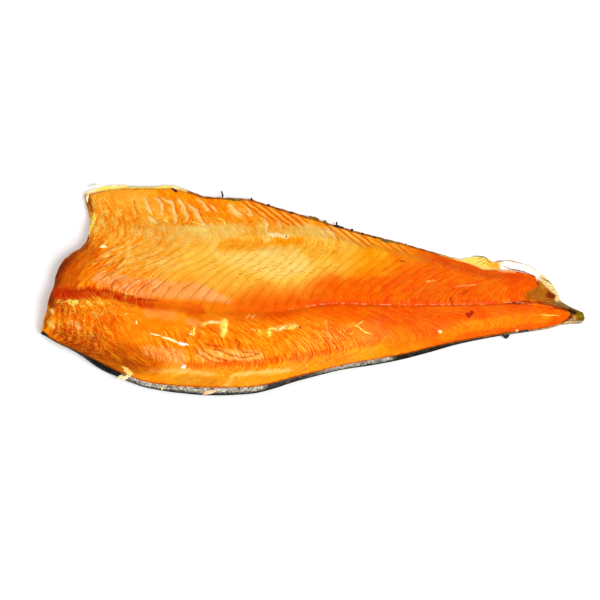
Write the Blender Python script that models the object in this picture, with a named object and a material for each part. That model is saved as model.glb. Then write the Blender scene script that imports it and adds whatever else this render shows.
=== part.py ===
"""One whole side of hot smoked salmon, lying on its skin.

The cut head end is at -X, the tail at +X, the thick back edge at -Y and the thin belly edge at +Y.
The origin is on the table, under the middle of the side. Two solids fit together with a thin gap:
the orange flesh, and the skin that lies under it like a shallow tray and wraps up its back edge.
"""
import bmesh
import bpy
import numpy as np

MM = 0.001

# Sizes, in millimetres
SKIN_THICKNESS = 1.7
GAP = 0.35
CROWN_HEIGHT = 28.0
RIM_DROP = 1.0
HEAD_ROUNDING = 2.2
HEAD_ROUNDING_REACH = 3.0
SKIN_AT_HEAD = 0.5
BACK_TUCK = 10.0
BACK_TUCK_LEAST = 3.0
BELLY_TUCK = 5.5
SEAM_DEPTH = 1.4
SEAM_SPREAD = 0.018
FLAKE_STEP = 0.9
STUB_HEIGHT = 3.4
FIN_HEIGHT = 1.0
TAIL_CLEARANCE = 4.0

# How often a point's place and its share of the width, which depend on each other, are worked out
PASSES = 4

# The middle of the whole side in the measures below, which is moved to the origin
MIDDLE = (1.25, 0.0, 0.0)

# Outline of the flesh from above, as (X, Y): the back edge and the belly edge run on past the cuts
BACK_EDGE = [(-271, -50), (-250, -63), (-230, -72.5), (-210, -83.3), (-194, -91.8), (-177, -99.8),
             (-160, -105.7), (-131, -109.3), (-102, -111), (-63, -110), (-14, -98), (35, -85),
             (84, -75), (134, -61.7), (184, -51.4), (235, -43), (250, -38.5), (272, -36.5)]
BELLY_EDGE = [(-270, 100), (-233, 102), (-209, 107), (-190, 108.5), (-145, 108.5), (-126, 103),
              (-110, 97.7), (-64, 94.8), (-52, 90.5), (-12, 77.7), (39, 60.8), (90, 46.6),
              (130, 34.3), (161, 24.3), (176, 18.6), (203, 17.5), (225, 12), (272, -3)]

# Where the side is cut off, as (share of the width from the back edge, X)
HEAD_CUT = [(0, -269), (0.07, -267), (0.18, -263.5), (0.375, -258.5), (0.47, -255), (0.54, -250),
            (0.585, -243), (0.63, -234), (0.69, -228.5), (0.76, -227), (0.85, -229), (1, -236)]
TAIL_CUT = [(0, 248), (0.1, 255), (0.23, 257.5), (0.32, 254.5), (0.44, 246), (0.68, 232),
            (0.85, 226.5), (1, 225.5)]
SKIN_TAIL_CUT = [(0, 269.5), (0.07, 272), (0.24, 271), (0.37, 263), (0.466, 257), (0.56, 250.5),
                 (0.83, 246), (0.98, 241), (1.09, 234), (1.2, 226)]

# Lines that run the length of the side: share of the grid across, and (X, share of the width)
FURROW, SEAM, RIDGE = 0.12, 0.40, 0.76
FURROW_LINE = [(-268, 0.05), (-200, 0.06), (-141, 0.098), (20, 0.092), (154, 0.115), (240, 0.13)]
SEAM_LINE = [(-256, 0.33), (-210, 0.38), (-43, 0.373), (25, 0.42), (129, 0.412), (200, 0.46),
             (258, 0.33)]
RIDGE_LINE = [(-223, 0.757), (-156, 0.73), (-116, 0.765), (-65, 0.774), (-14, 0.833), (36, 0.873),
              (230, 0.87)]

# Heights: the crown along the length, and each line across as a share of the crown
CROWN = [(-268, 22), (-185, 27.5), (-130, CROWN_HEIGHT), (-60, 26.5), (0, 23.5), (60, 20), (120, 16.5),
         (180, 12.5), (225, 8.8), (272, 5.2)]
SECTION = [(0, 0.70), (FURROW, 0.76), (0.26, 1.0), (SEAM, 0.93), (0.58, 0.86), (0.70, 0.76), (RIDGE, 0.66),
           (0.86, 0.43), (1, 0.30)]
EVEN_SECTION = 0.88
EVENNESS = [(-268, 0), (100, 0.04), (180, 0.2), (225, 0.5), (272, 0.9)]

# Flakes bend like a W: how far each line across lies towards the tail, and how deep the steps are
FLAKES = 44
FLAKE_CREST = 0.3
FLAKE_SPREAD = 0.2
FLAKE_BEND = [(0, 0), (FURROW, 26), (0.26, 8), (SEAM, -26), (0.55, -6), (RIDGE, 26), (1, 0)]
FLAKE_BEND_FADE = 0.12
FLAKE_DEPTH = [(0, 0.1), (0.06, 0.5), (FURROW, 0.35), (0.26, 1), (0.37, 0.7), (SEAM, 0.1), (0.43, 0.8),
               (0.58, 1), (0.70, 0.7), (RIDGE, 0.3), (0.87, 1), (1, 0.2)]
FLAKE_FADE = [(-268, 0.5), (-230, 1), (60, 0.9), (150, 0.5), (260, 0.3)]

# The skin: how far it stands out below the back edge, and its pale lip beyond the belly edge
BACK_BULGE = [(-268, -1.2), (-250, -0.8), (-229, 2.2), (-211, 5.8), (-203, 5.9), (-194, 5),
              (-177, 4.4), (-160, 4), (-135, 5), (-90, 6), (-42, 4.6), (0, 3), (20, 3), (60, 4.6),
              (115, 4.4), (150, 2.4), (200, 1.6), (272, 0.8)]
BELLY_BULGE = 0.3
BELLY_LIP = [(-238, 5.5), (-215, 7), (-195, 5.5), (-186, 2.6), (-165, 2.4), (-155, 5), (-142, 5),
             (-127, 2.4), (-110, 0.6), (140, 0.6), (152, 3.5), (163, 10), (173, 14.5), (179, 13),
             (186, 9.5), (193, 11.5), (210, 10.5), (232, 9)]
LIP_WAVE = 0.5
LIP_WAVE_LENGTH = 11.0

# Section of a side: how far the lip hangs, where the wall stands out most, and where it turns under
LIP_DROP = 0.25
LIP_DROP_REACH = 5.0
LIP_HOLD = 0.3
WALL_OUT = 1.25
WALL_LEVEL = 0.45
WALL_RAISE = 0.6
TUCK_START = 0.1

# Root of the tail: share of the width that the stub takes, and how far the skin takes to rise
STUB_SHARE = 0.45
STUB_BLEND = 0.15
TAIL_SLOPE = 6.0

# Lines of the grids across: (share at which a strip starts, lines in it), and steps up a side
STRIPS = [(0, 3), (FURROW, 5), (0.37, 2), (SEAM, 2), (0.43, 6), (RIDGE, 5), (1, 0)]
BACK_STEPS = 4
BELLY_STEPS = 3

# Finish of a mesh, in metres and radians: what counts as one point, as flat and as a sharp edge
WELD_DISTANCE = 1e-6
FLAT_WITHIN = 1e-7
SHARP_ANGLE = np.radians(40)


def through(knots, values, place):
    """Reads, at each place, a smooth curve through the values at the knots that never overshoots them."""
    knots = np.asarray(knots, float)
    values = np.asarray(values, float).reshape(len(knots), -1)
    place = np.clip(np.asarray(place, float), knots[0], knots[-1])
    rises = np.diff(values, axis=0) / np.diff(knots)[:, None]
    turning = rises[:-1] * rises[1:] <= 0
    sums = np.where(turning, 1.0, rises[:-1] + rises[1:])
    inner = np.where(turning, 0.0, 2 * rises[:-1] * rises[1:] / sums)
    slopes = np.concatenate((rises[:1], inner, rises[-1:]))
    k = np.clip(np.searchsorted(knots, place, side="right") - 1, 0, len(knots) - 2)
    column = np.arange(values.shape[1]) if values.shape[1] > 1 else 0
    width = knots[k + 1] - knots[k]
    t = (place - knots[k]) / width
    start = (1 + 2 * t) * (1 - t) ** 2 * values[k, column] + t * (1 - t) ** 2 * width * slopes[k, column]
    end = t * t * (3 - 2 * t) * values[k + 1, column] + t * t * (t - 1) * width * slopes[k + 1, column]
    return start + end


def curve(points, place):
    """Reads a curve that is given as a list of (place, value) points."""
    knots, values = zip(*points)
    return through(knots, values, place)


def mix(start, end, share):
    return start + (end - start) * share


def soft_step(value):
    value = np.clip(value, 0, 1)
    return value * value * (3 - 2 * value)


def width_at(x):
    return curve(BELLY_EDGE, x) - curve(BACK_EDGE, x)


def height_at(x, across, share):
    """Height of the flesh without its flakes, at a line across and its share of the width."""
    level = mix(curve(SECTION, across), EVEN_SECTION, curve(EVENNESS, x))
    groove = SEAM_DEPTH * np.exp(-((across - SEAM) / SEAM_SPREAD) ** 2)
    from_head = np.maximum(x - curve(HEAD_CUT, share), 0)
    return curve(CROWN, x) * level - groove - HEAD_ROUNDING * np.exp(-from_head / HEAD_ROUNDING_REACH)


def flake_lines():
    """The lines along the length, as (share of the length, how high they lie on their flake)."""
    flake = ((0, 0), (FLAKE_CREST, 1))
    lines = [((k + part) / FLAKES, lift) for k in range(FLAKES) for part, lift in flake]
    lines.append((1.0, 0))
    share, lift = np.array(lines, float).T
    return share + FLAKE_SPREAD * share * (1 - share), lift


def across_lines():
    """The lines across the grid, from the back edge at 0 to the belly edge at 1."""
    ends = [share for share, _ in STRIPS]
    lines = [mix(ends[k], ends[k + 1], step / steps) for k, (_, steps) in enumerate(STRIPS[:-1])
             for step in range(steps)]
    return np.array(lines + [1.0])


def share_across(x, across):
    """Share of the width, from the back edge, at which a line across the grid lies."""
    inner_lines = [curve(line, x) for line in (FURROW_LINE, SEAM_LINE, RIDGE_LINE)]
    lines = [np.zeros_like(x), *inner_lines, np.ones_like(x)]
    return through([0, FURROW, SEAM, RIDGE, 1], lines, np.full_like(x, across))


def settle(along, across, head_cut, tail_cut, bend=0.0):
    """Finds X and the share of the width for each place along one line across the grid."""
    x = mix(HEAD_CUT[0][1], TAIL_CUT[0][1], along)
    for _ in range(PASSES):
        share = share_across(x, across)
        x = mix(curve(head_cut, share), curve(tail_cut, share), along) + bend
    return x, share


def top_column(along, lift, across):
    """Points of the flesh's upper face on one line across, from head to tail."""
    bend = curve(FLAKE_BEND, across) * soft_step(along / FLAKE_BEND_FADE)
    bend = bend * soft_step((1 - along) / FLAKE_BEND_FADE)
    x, share = settle(along, across, HEAD_CUT, TAIL_CUT, bend)
    step = FLAKE_STEP * curve(FLAKE_DEPTH, across) * curve(FLAKE_FADE, x) * (lift - 0.5)
    z = height_at(x, across, share) + step
    return np.stack((x, curve(BACK_EDGE, x) + share * width_at(x), z), axis=1)


def side_section(x, belly, down, offset, lipped):
    """One point of a side's section, from the skin's edge at down 0 to the floor at down 1.

    The section is the inner face of the skin, pushed outwards by the offset. It is given as the
    distance out from the edge of the flesh and the height.
    """
    if belly:
        lip = curve(BELLY_LIP, x) + LIP_WAVE * np.sin(x / LIP_WAVE_LENGTH * 2 * np.pi) if lipped else 0 * x
        bulge = 0 * x + BELLY_BULGE
        tuck = BELLY_TUCK
        edge = height_at(x, 1, 1) - RIM_DROP
        edge = edge * (1 - LIP_DROP * soft_step(lip / LIP_DROP_REACH))
    else:
        lip = 0 * x
        bulge = curve(BACK_BULGE, x) - SKIN_THICKNESS
        edge = height_at(x, 0, 0) - RIM_DROP
        tuck = BACK_TUCK * edge / CROWN_HEIGHT + BACK_TUCK_LEAST
    corners = ((GAP + lip, edge), (WALL_OUT * bulge + LIP_HOLD * lip, WALL_LEVEL * edge + WALL_RAISE),
               (bulge - TUCK_START * tuck, 0 * x + SKIN_THICKNESS), (bulge - tuck, 0 * x + SKIN_THICKNESS))
    up = 1 - down
    weights = (up ** 3, 3 * up * up * down, 3 * up * down * down, down ** 3)
    out, high = (sum(w * corner[axis] for w, corner in zip(weights, corners)) for axis in (0, 1))
    pulls = (up * up, 2 * up * down, down * down)
    run, drop = (sum(w * (corners[k + 1][axis] - corners[k][axis]) for k, w in enumerate(pulls))
                 for axis in (0, 1))
    length = np.hypot(run, drop)
    return out - offset * drop / length, high + offset * run / length


def side_column(along, belly, down, offset, lipped, head_cut, tail_cut):
    """Points on one line down a side, from head to tail."""
    share = np.full_like(along, 1.0 if belly else 0.0)
    for _ in range(PASSES):
        x = mix(curve(head_cut, share), curve(tail_cut, share), along)
        out, high = side_section(x, belly, down, offset, lipped)
        share = 1 + out / width_at(x) if belly else -out / width_at(x)
    return np.stack((x, curve(BACK_EDGE, x) + share * width_at(x), high), axis=1)


def floor_column(along, across, height, head_cut, tail_cut):
    """Points on one line across the flat floor, from head to tail."""
    x, share = settle(along, across, head_cut, tail_cut)
    return np.stack((x, curve(BACK_EDGE, x) + share * width_at(x), np.full_like(x, height)), axis=1)


def lower_surface(along, offset, lipped, head_cut, tail_cut):
    """The face of a solid that follows the skin: down the back side, over the floor, up the belly side."""
    cuts = (head_cut, tail_cut)
    back, belly = ([side_column(along, side, step / steps, offset, lipped, *cuts)
                    for step in range(steps + 1)]
                   for side, steps in ((False, BACK_STEPS), (True, BELLY_STEPS)))
    floor_lines = across_lines()[BACK_STEPS + 2:-BELLY_STEPS - 2]
    floor = [floor_column(along, line, SKIN_THICKNESS - offset, *cuts) for line in floor_lines]
    return back + floor + belly[::-1]


def add_grid(mesh, columns, facing_down=False):
    """Adds a grid of faces whose points lie on the given lines, and returns them by row and column."""
    rows, lines = len(columns[0]) - 1, len(columns) - 1
    points = bmesh.ops.create_grid(mesh, x_segments=rows, y_segments=lines, size=0.5)["verts"]
    table = [[None] * (lines + 1) for _ in range(rows + 1)]
    for point in points:
        row = round((point.co.x + 0.5) * rows)
        line = round((point.co.y + 0.5) * lines)
        point.co = [(value - middle) * MM for value, middle in zip(columns[line][row], MIDDLE)]
        table[row][line] = point
    if facing_down:
        faces = {face for point in points for face in point.link_faces}
        bmesh.ops.reverse_faces(mesh, faces=list(faces))
    return table


def close_between(mesh, upper, lower):
    """Closes the gap between the rims of two grids of the same size with a band of faces."""
    rows, lines = len(upper) - 1, len(upper[0]) - 1
    rim = [(0, k) for k in range(lines)] + [(k, lines) for k in range(rows)]
    rim += [(rows, lines - k) for k in range(lines)] + [(rows - k, 0) for k in range(rows)]
    for (row, line), (next_row, next_line) in zip(rim, rim[1:] + rim[:1]):
        mesh.faces.new((upper[row][line], upper[next_row][next_line],
                        lower[next_row][next_line], lower[row][line]))


def finish_solid(name, mesh, material, floor_heights):
    """Welds the rims, makes each flat floor one face, and adds the object to the collection."""
    bmesh.ops.remove_doubles(mesh, verts=mesh.verts, dist=WELD_DISTANCE)
    for height in floor_heights:
        flat = [face for face in mesh.faces
                if all(abs(v.co.z - height * MM) < FLAT_WITHIN for v in face.verts)]
        bmesh.ops.dissolve_faces(mesh, faces=flat)
    data = bpy.data.meshes.new(name)
    mesh.to_mesh(data)
    mesh.free()
    data.shade_smooth()
    data.set_sharp_from_angle(angle=SHARP_ANGLE)
    data.materials.append(material)
    solid = bpy.data.objects.new(name, data)
    bpy.data.collections[COLLECTION].objects.link(solid)


def make_material(name, colour, roughness, metallic):
    material = bpy.data.materials.new(name)
    material.use_nodes = True
    shader = material.node_tree.nodes["Principled BSDF"]
    shader.inputs["Base Color"].default_value = (*colour, 1.0)
    shader.inputs["Roughness"].default_value = roughness
    shader.inputs["Metallic"].default_value = metallic
    return material


def make_flesh():
    """The smoked flesh, with its flakes, seam, ridge and belly flap."""
    along, lift = flake_lines()
    mesh = bmesh.new()
    across = across_lines()
    upper = add_grid(mesh, [top_column(along, lift, line) for line in across])
    under = lower_surface(along, -GAP, False, HEAD_CUT, TAIL_CUT)
    rim_back, rim_belly = top_column(along, lift, 0.0), top_column(along, lift, 1.0)
    lower = add_grid(mesh, [rim_back] + under + [rim_belly], facing_down=True)
    close_between(mesh, upper, lower)
    flesh = make_material("smoked_flesh", (0.90, 0.30, 0.035), 0.38, 0.0)
    finish_solid("salmon_flesh", mesh, flesh, [SKIN_THICKNESS + GAP])


def make_skin():
    """The skin, with its pale lip at the belly, the stub of the tail and the root of the tail fin."""
    along, _ = flake_lines()
    head_cut = [(share, x - SKIN_AT_HEAD) for share, x in HEAD_CUT]
    inner = lower_surface(along, 0.0, True, head_cut, SKIN_TAIL_CUT)
    outer = lower_surface(along, SKIN_THICKNESS, True, head_cut, SKIN_TAIL_CUT)
    for column in inner:
        raise_tail(column)
    mesh = bmesh.new()
    close_between(mesh, add_grid(mesh, inner), add_grid(mesh, outer, facing_down=True))
    skin = make_material("silver_skin", (0.05, 0.05, 0.045), 0.35, 0.1)
    finish_solid("salmon_skin", mesh, skin, [0.0, SKIN_THICKNESS])


def raise_tail(column):
    """Lifts the skin's upper face past the end of the flesh: a thick stub, and a thinner fin root."""
    x, y = column[:, 0], column[:, 1]
    share = (y - curve(BACK_EDGE, x)) / width_at(x)
    past_flesh = x - curve(TAIL_CUT, np.clip(share, 0, 1)) - TAIL_CLEARANCE
    stub = soft_step((STUB_SHARE - share) / STUB_BLEND)
    column[:, 2] += mix(FIN_HEIGHT, STUB_HEIGHT, stub) * soft_step(past_flesh / TAIL_SLOPE)


COLLECTION = "hot_smoked_salmon_side"
for old in list(bpy.data.objects):
    bpy.data.objects.remove(old, do_unlink=True)
bpy.context.scene.collection.children.link(bpy.data.collections.new(COLLECTION))
make_flesh()
make_skin()
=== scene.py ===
"""Looks of a whole side of hot smoked salmon, built over its measured frame.

The side lies on its skin: cut head end at -X, tail at +X, thick back edge at -Y, thin belly edge at +Y.
Outline, section and flakes follow the same named measures as the solids, on a much finer grid.
"""

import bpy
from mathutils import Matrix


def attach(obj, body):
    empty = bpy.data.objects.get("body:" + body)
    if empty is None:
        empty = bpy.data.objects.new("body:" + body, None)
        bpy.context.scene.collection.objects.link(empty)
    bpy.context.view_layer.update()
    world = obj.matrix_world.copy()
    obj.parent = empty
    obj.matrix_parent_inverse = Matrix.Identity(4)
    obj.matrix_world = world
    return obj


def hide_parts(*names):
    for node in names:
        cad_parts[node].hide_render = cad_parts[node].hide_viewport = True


bl_info = {
    "name": "Hot Smoked Salmon Side",
    "version": (1, 0, 0),
    "blender": (4, 5, 0),
    "location": "3D View > Sidebar > Salmon",
    "description": "Builds the flesh, skin, curd, trimmings and studio of a side of hot smoked salmon",
    "category": "Add Mesh",
}

import math

import bmesh
import bpy
import numpy as np
from mathutils import Vector, noise
from mathutils.bvhtree import BVHTree

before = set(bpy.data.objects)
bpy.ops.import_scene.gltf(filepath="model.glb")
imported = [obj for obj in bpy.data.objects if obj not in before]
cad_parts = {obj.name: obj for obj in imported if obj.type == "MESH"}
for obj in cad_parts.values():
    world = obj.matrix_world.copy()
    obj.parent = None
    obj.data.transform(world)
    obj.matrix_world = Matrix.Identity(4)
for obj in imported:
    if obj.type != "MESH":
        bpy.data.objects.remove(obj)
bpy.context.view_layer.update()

MM = 0.001

# Sizes that the solids share, in millimetres
SKIN_THICKNESS = 1.7
GAP = 0.35
RIM_DROP = 1.0
HEAD_ROUNDING = 2.2
HEAD_ROUNDING_REACH = 3.0
SKIN_AT_HEAD = 0.5
BACK_TUCK = 10.0
BACK_TUCK_LEAST = 3.0
BELLY_TUCK = 5.5
CROWN_HEIGHT = 28.0
STUB_HEIGHT = 3.4
FIN_HEIGHT = 1.0
TAIL_CLEARANCE = 0.8

# Where the origin lies, in the outline's own millimetres
MIDDLE = np.array((1.25, 0.0, 0.0))

# How wide the seam's groove is, as a share across, and how often the places on a line are settled
SEAM_SPREAD = 0.018
PASSES = 4

# Outline of the flesh from above, as (X, Y): the back edge and the belly edge run on past the cuts
BACK_EDGE = [(-271, -50), (-250, -63), (-230, -72.5), (-210, -83.3), (-194, -91.8), (-177, -99.8),
             (-160, -105.7), (-131, -109.3), (-102, -111), (-63, -110), (-14, -98), (35, -85),
             (84, -75), (134, -61.7), (184, -51.4), (235, -43), (250, -38.5), (272, -36.5)]
BELLY_EDGE = [(-270, 100), (-233, 102), (-209, 107), (-190, 108.5), (-145, 108.5), (-126, 103),
              (-110, 97.7), (-64, 94.8), (-52, 90.5), (-12, 77.7), (39, 60.8), (90, 46.6),
              (130, 34.3), (161, 24.3), (176, 18.6), (203, 17.5), (225, 12), (272, -3)]

# Where the side is cut off, as (share of the width from the back edge, X)
HEAD_CUT = [(0, -269), (0.07, -267), (0.18, -263.5), (0.375, -258.5), (0.47, -255), (0.54, -250),
            (0.585, -243), (0.63, -234), (0.69, -228.5), (0.76, -227), (0.85, -229), (1, -236)]
TAIL_CUT = [(0, 248), (0.1, 255), (0.23, 257.5), (0.32, 254.5), (0.44, 246), (0.68, 232),
            (0.85, 226.5), (1, 225.5)]
SKIN_TAIL_CUT = [(0, 269.5), (0.07, 272), (0.24, 271), (0.37, 263), (0.466, 257), (0.56, 250.5),
                 (0.83, 246), (0.98, 241), (1.09, 234), (1.2, 226)]

# Lines that run the length of the side: share of the grid across, and (X, share of the width)
FURROW, SEAM, RIDGE = 0.12, 0.40, 0.76
FURROW_LINE = [(-268, 0.05), (-200, 0.06), (-141, 0.098), (20, 0.092), (154, 0.115), (240, 0.13)]
SEAM_LINE = [(-256, 0.33), (-210, 0.38), (-43, 0.373), (25, 0.42), (129, 0.412), (200, 0.46),
             (258, 0.33)]
RIDGE_LINE = [(-223, 0.757), (-156, 0.73), (-116, 0.765), (-65, 0.774), (-14, 0.833), (36, 0.873),
              (230, 0.87)]

# Heights: the crown along the length, each line across as a share of the crown, and how far the section
# evens out towards the tail
CROWN = [(-268, 22), (-185, 27.5), (-130, CROWN_HEIGHT), (-60, 26.5), (0, 23.5), (60, 20), (120, 16.5),
         (180, 12.5), (225, 8.8), (272, 5.2)]
SECTION = [(0, 0.70), (FURROW, 0.76), (0.26, 1.0), (SEAM, 0.93), (0.58, 0.86), (0.70, 0.76), (RIDGE, 0.66),
           (0.86, 0.43), (1, 0.30)]
EVEN_SECTION = 0.88
EVENNESS = [(-268, 0), (100, 0.04), (180, 0.2), (225, 0.5), (272, 0.9)]

# Flakes bend like a W: how far each line across lies towards the tail, and how deep the steps are
FLAKES = 44
FLAKE_CREST = 0.3
FLAKE_SPREAD = 0.2
FLAKE_BEND = [(0, 0), (FURROW, 26), (0.26, 8), (SEAM, -26), (0.55, -6), (RIDGE, 26), (1, 0)]
FLAKE_BEND_FADE = 0.12
FLAKE_DEPTH = [(0, 0.1), (0.06, 0.5), (FURROW, 0.35), (0.26, 1), (0.37, 0.7), (SEAM, 0.1), (0.43, 0.8),
               (0.58, 1), (0.70, 0.7), (RIDGE, 0.3), (0.87, 1), (1, 0.2)]
FLAKE_FADE = [(-268, 0.5), (-230, 1), (60, 0.9), (150, 0.5), (260, 0.3)]

# The skin: how far it stands out below the back edge, and its pale lip beyond the belly edge
BACK_BULGE = [(-268, -1.2), (-250, -0.8), (-229, 2.2), (-211, 5.8), (-203, 5.9), (-194, 5),
              (-177, 4.4), (-160, 4), (-135, 5), (-90, 6), (-42, 4.6), (0, 3), (20, 3), (60, 4.6),
              (115, 4.4), (150, 2.4), (200, 1.6), (272, 0.8)]
BELLY_BULGE = 0.3
BELLY_LIP = [(-238, 5.5), (-215, 7), (-195, 5.5), (-186, 2.6), (-165, 2.4), (-155, 5), (-142, 5),
             (-127, 2.4), (-110, 0.6), (140, 0.6), (152, 3.5), (163, 10), (173, 14.5), (179, 13),
             (186, 9.5), (193, 11.5), (210, 10.5), (232, 9)]
LIP_WAVE = 0.5
LIP_WAVE_LENGTH = 11.0

# Section of a side: how far the lip hangs, where the wall stands out most, and where it turns under
LIP_DROP = 0.25
LIP_DROP_REACH = 5.0
LIP_HOLD = 0.3
WALL_OUT = 1.25
WALL_LEVEL = 0.45
WALL_RAISE = 0.6
TUCK_START = 0.1

# Root of the tail: share of the width that the stub takes, and how far the skin takes to rise
STUB_SHARE = 0.45
STUB_BLEND = 0.15
TAIL_SLOPE = 3.0

# Lines of the fine grids: (share at which a strip starts, lines in it), and steps up each side
STRIPS = [(0, 12), (FURROW, 48), (0.37, 8), (SEAM, 8), (0.43, 68), (RIDGE, 42), (0.92, 12), (1, 0)]
ROWS_IN_FLAKE = 10
BACK_STEPS = 10
BELLY_STEPS = 6

# Finish of a mesh, in metres and radians: what counts as one point, as flat and as a sharp edge
WELD_DISTANCE = 1e-6
FLAT_WITHIN = 1e-7
SHARP_ANGLE = math.radians(50)

# Silver on the skin: its strength along the back wall, how far down the wall it reaches as a share of the
# wall, its strength on the flank, and where both begin and are full as shares of the width
SILVER_ALONG = [(-188, 0.0), (-172, 0.95), (-52, 0.95), (-43, 0.1), (-8, 0.1), (30, 0.7), (72, 0.7),
                (84, 0.03), (188, 0.03), (215, 0.35), (270, 0.3)]
SILVER_END = 0.26
SILVER_FADE = 0.16
FLANK_SILVER = 0.85
ON_FLANK = (0.08, 0.4)
ON_BACK_WALL = (0.1, 0.0)

# Where other tones of the skin begin and are full: shares of the width, X, or pixels
PALE_BELLY = (0.35, 0.9)
PALE_LENGTH = (250, 190)
OLIVE_TAIL = (215, 240)
BELLY_RIM = (-140, -110)
FIN_ACROSS = (537, 541)
FIN_DOWN = (303, 300)

# Camera of the photograph, in millimetres, radians and pixels
LENS = 85.0
SENSOR = 36.0
PICTURE = 600
VIEW_TARGET = np.array((-14.0, -16.95, 12.0))
VIEW_DISTANCE = 1416.67
VIEW_ELEVATION = math.radians(68.0)
VIEW_BACK = np.array((0, -math.cos(VIEW_ELEVATION), math.sin(VIEW_ELEVATION)))
VIEW_UP = np.array((0, math.sin(VIEW_ELEVATION), math.cos(VIEW_ELEVATION)))
FOCAL = LENS / SENSOR * PICTURE

# Soft unevenness, as (size of its lumps, seed), in pixels for the tones and millimetres for the form
TONE_DRIFT = ((24.0, 11), (24.0, 12))
TONE_SHIVER = ((6.0, 13), (6.0, 14))
LINE_DRIFT = ((6.0, 5), (6.0, 6))
SWELL_LUMPS = ((26.0, 3), (6.0, 4))
CREST_LUMPS = ((7.0, 8), (7.0, 9))

# How far it moves things: tones as a share of their soft edge, which counts up to the widest, and in
# pixels, lines in pixels, the small swell as a share of the large one, and crests in millimetres along
# and across
DRIFT_SHARE = 0.6
WIDEST_DRIFT_EDGE = 14
SHIVER_PIXELS = 1.1
LINE_DRIFT_PIXELS = 1.2
SMALL_SWELL = 0.4
CREST_DRIFT = (0.9, 0.6)

# How far each seed moves the noise, so that no two are alike
SEED_SHIFT = (17.3, 5.1, 9.7)

# Shares across over which the relief rises from the back edge and falls to the belly edge
RELIEF_RISE = (0, 0.04)
RELIEF_FALL = (1, 0.97)

# The dark spot at the root of the fin, on flesh and skin alike, and the path of the skin's pale edge
# at the tail, in the forms that TONES explains
FIN_SPOT = ("brown", 1.0, 2, [(548.5, 294.5, 1.5), (551.5, 296, 2)])
TAIL_EDGE = [(543, 279, 2), (550, 284, 3), (557, 292, 3), (559, 301, 2)]

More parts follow.
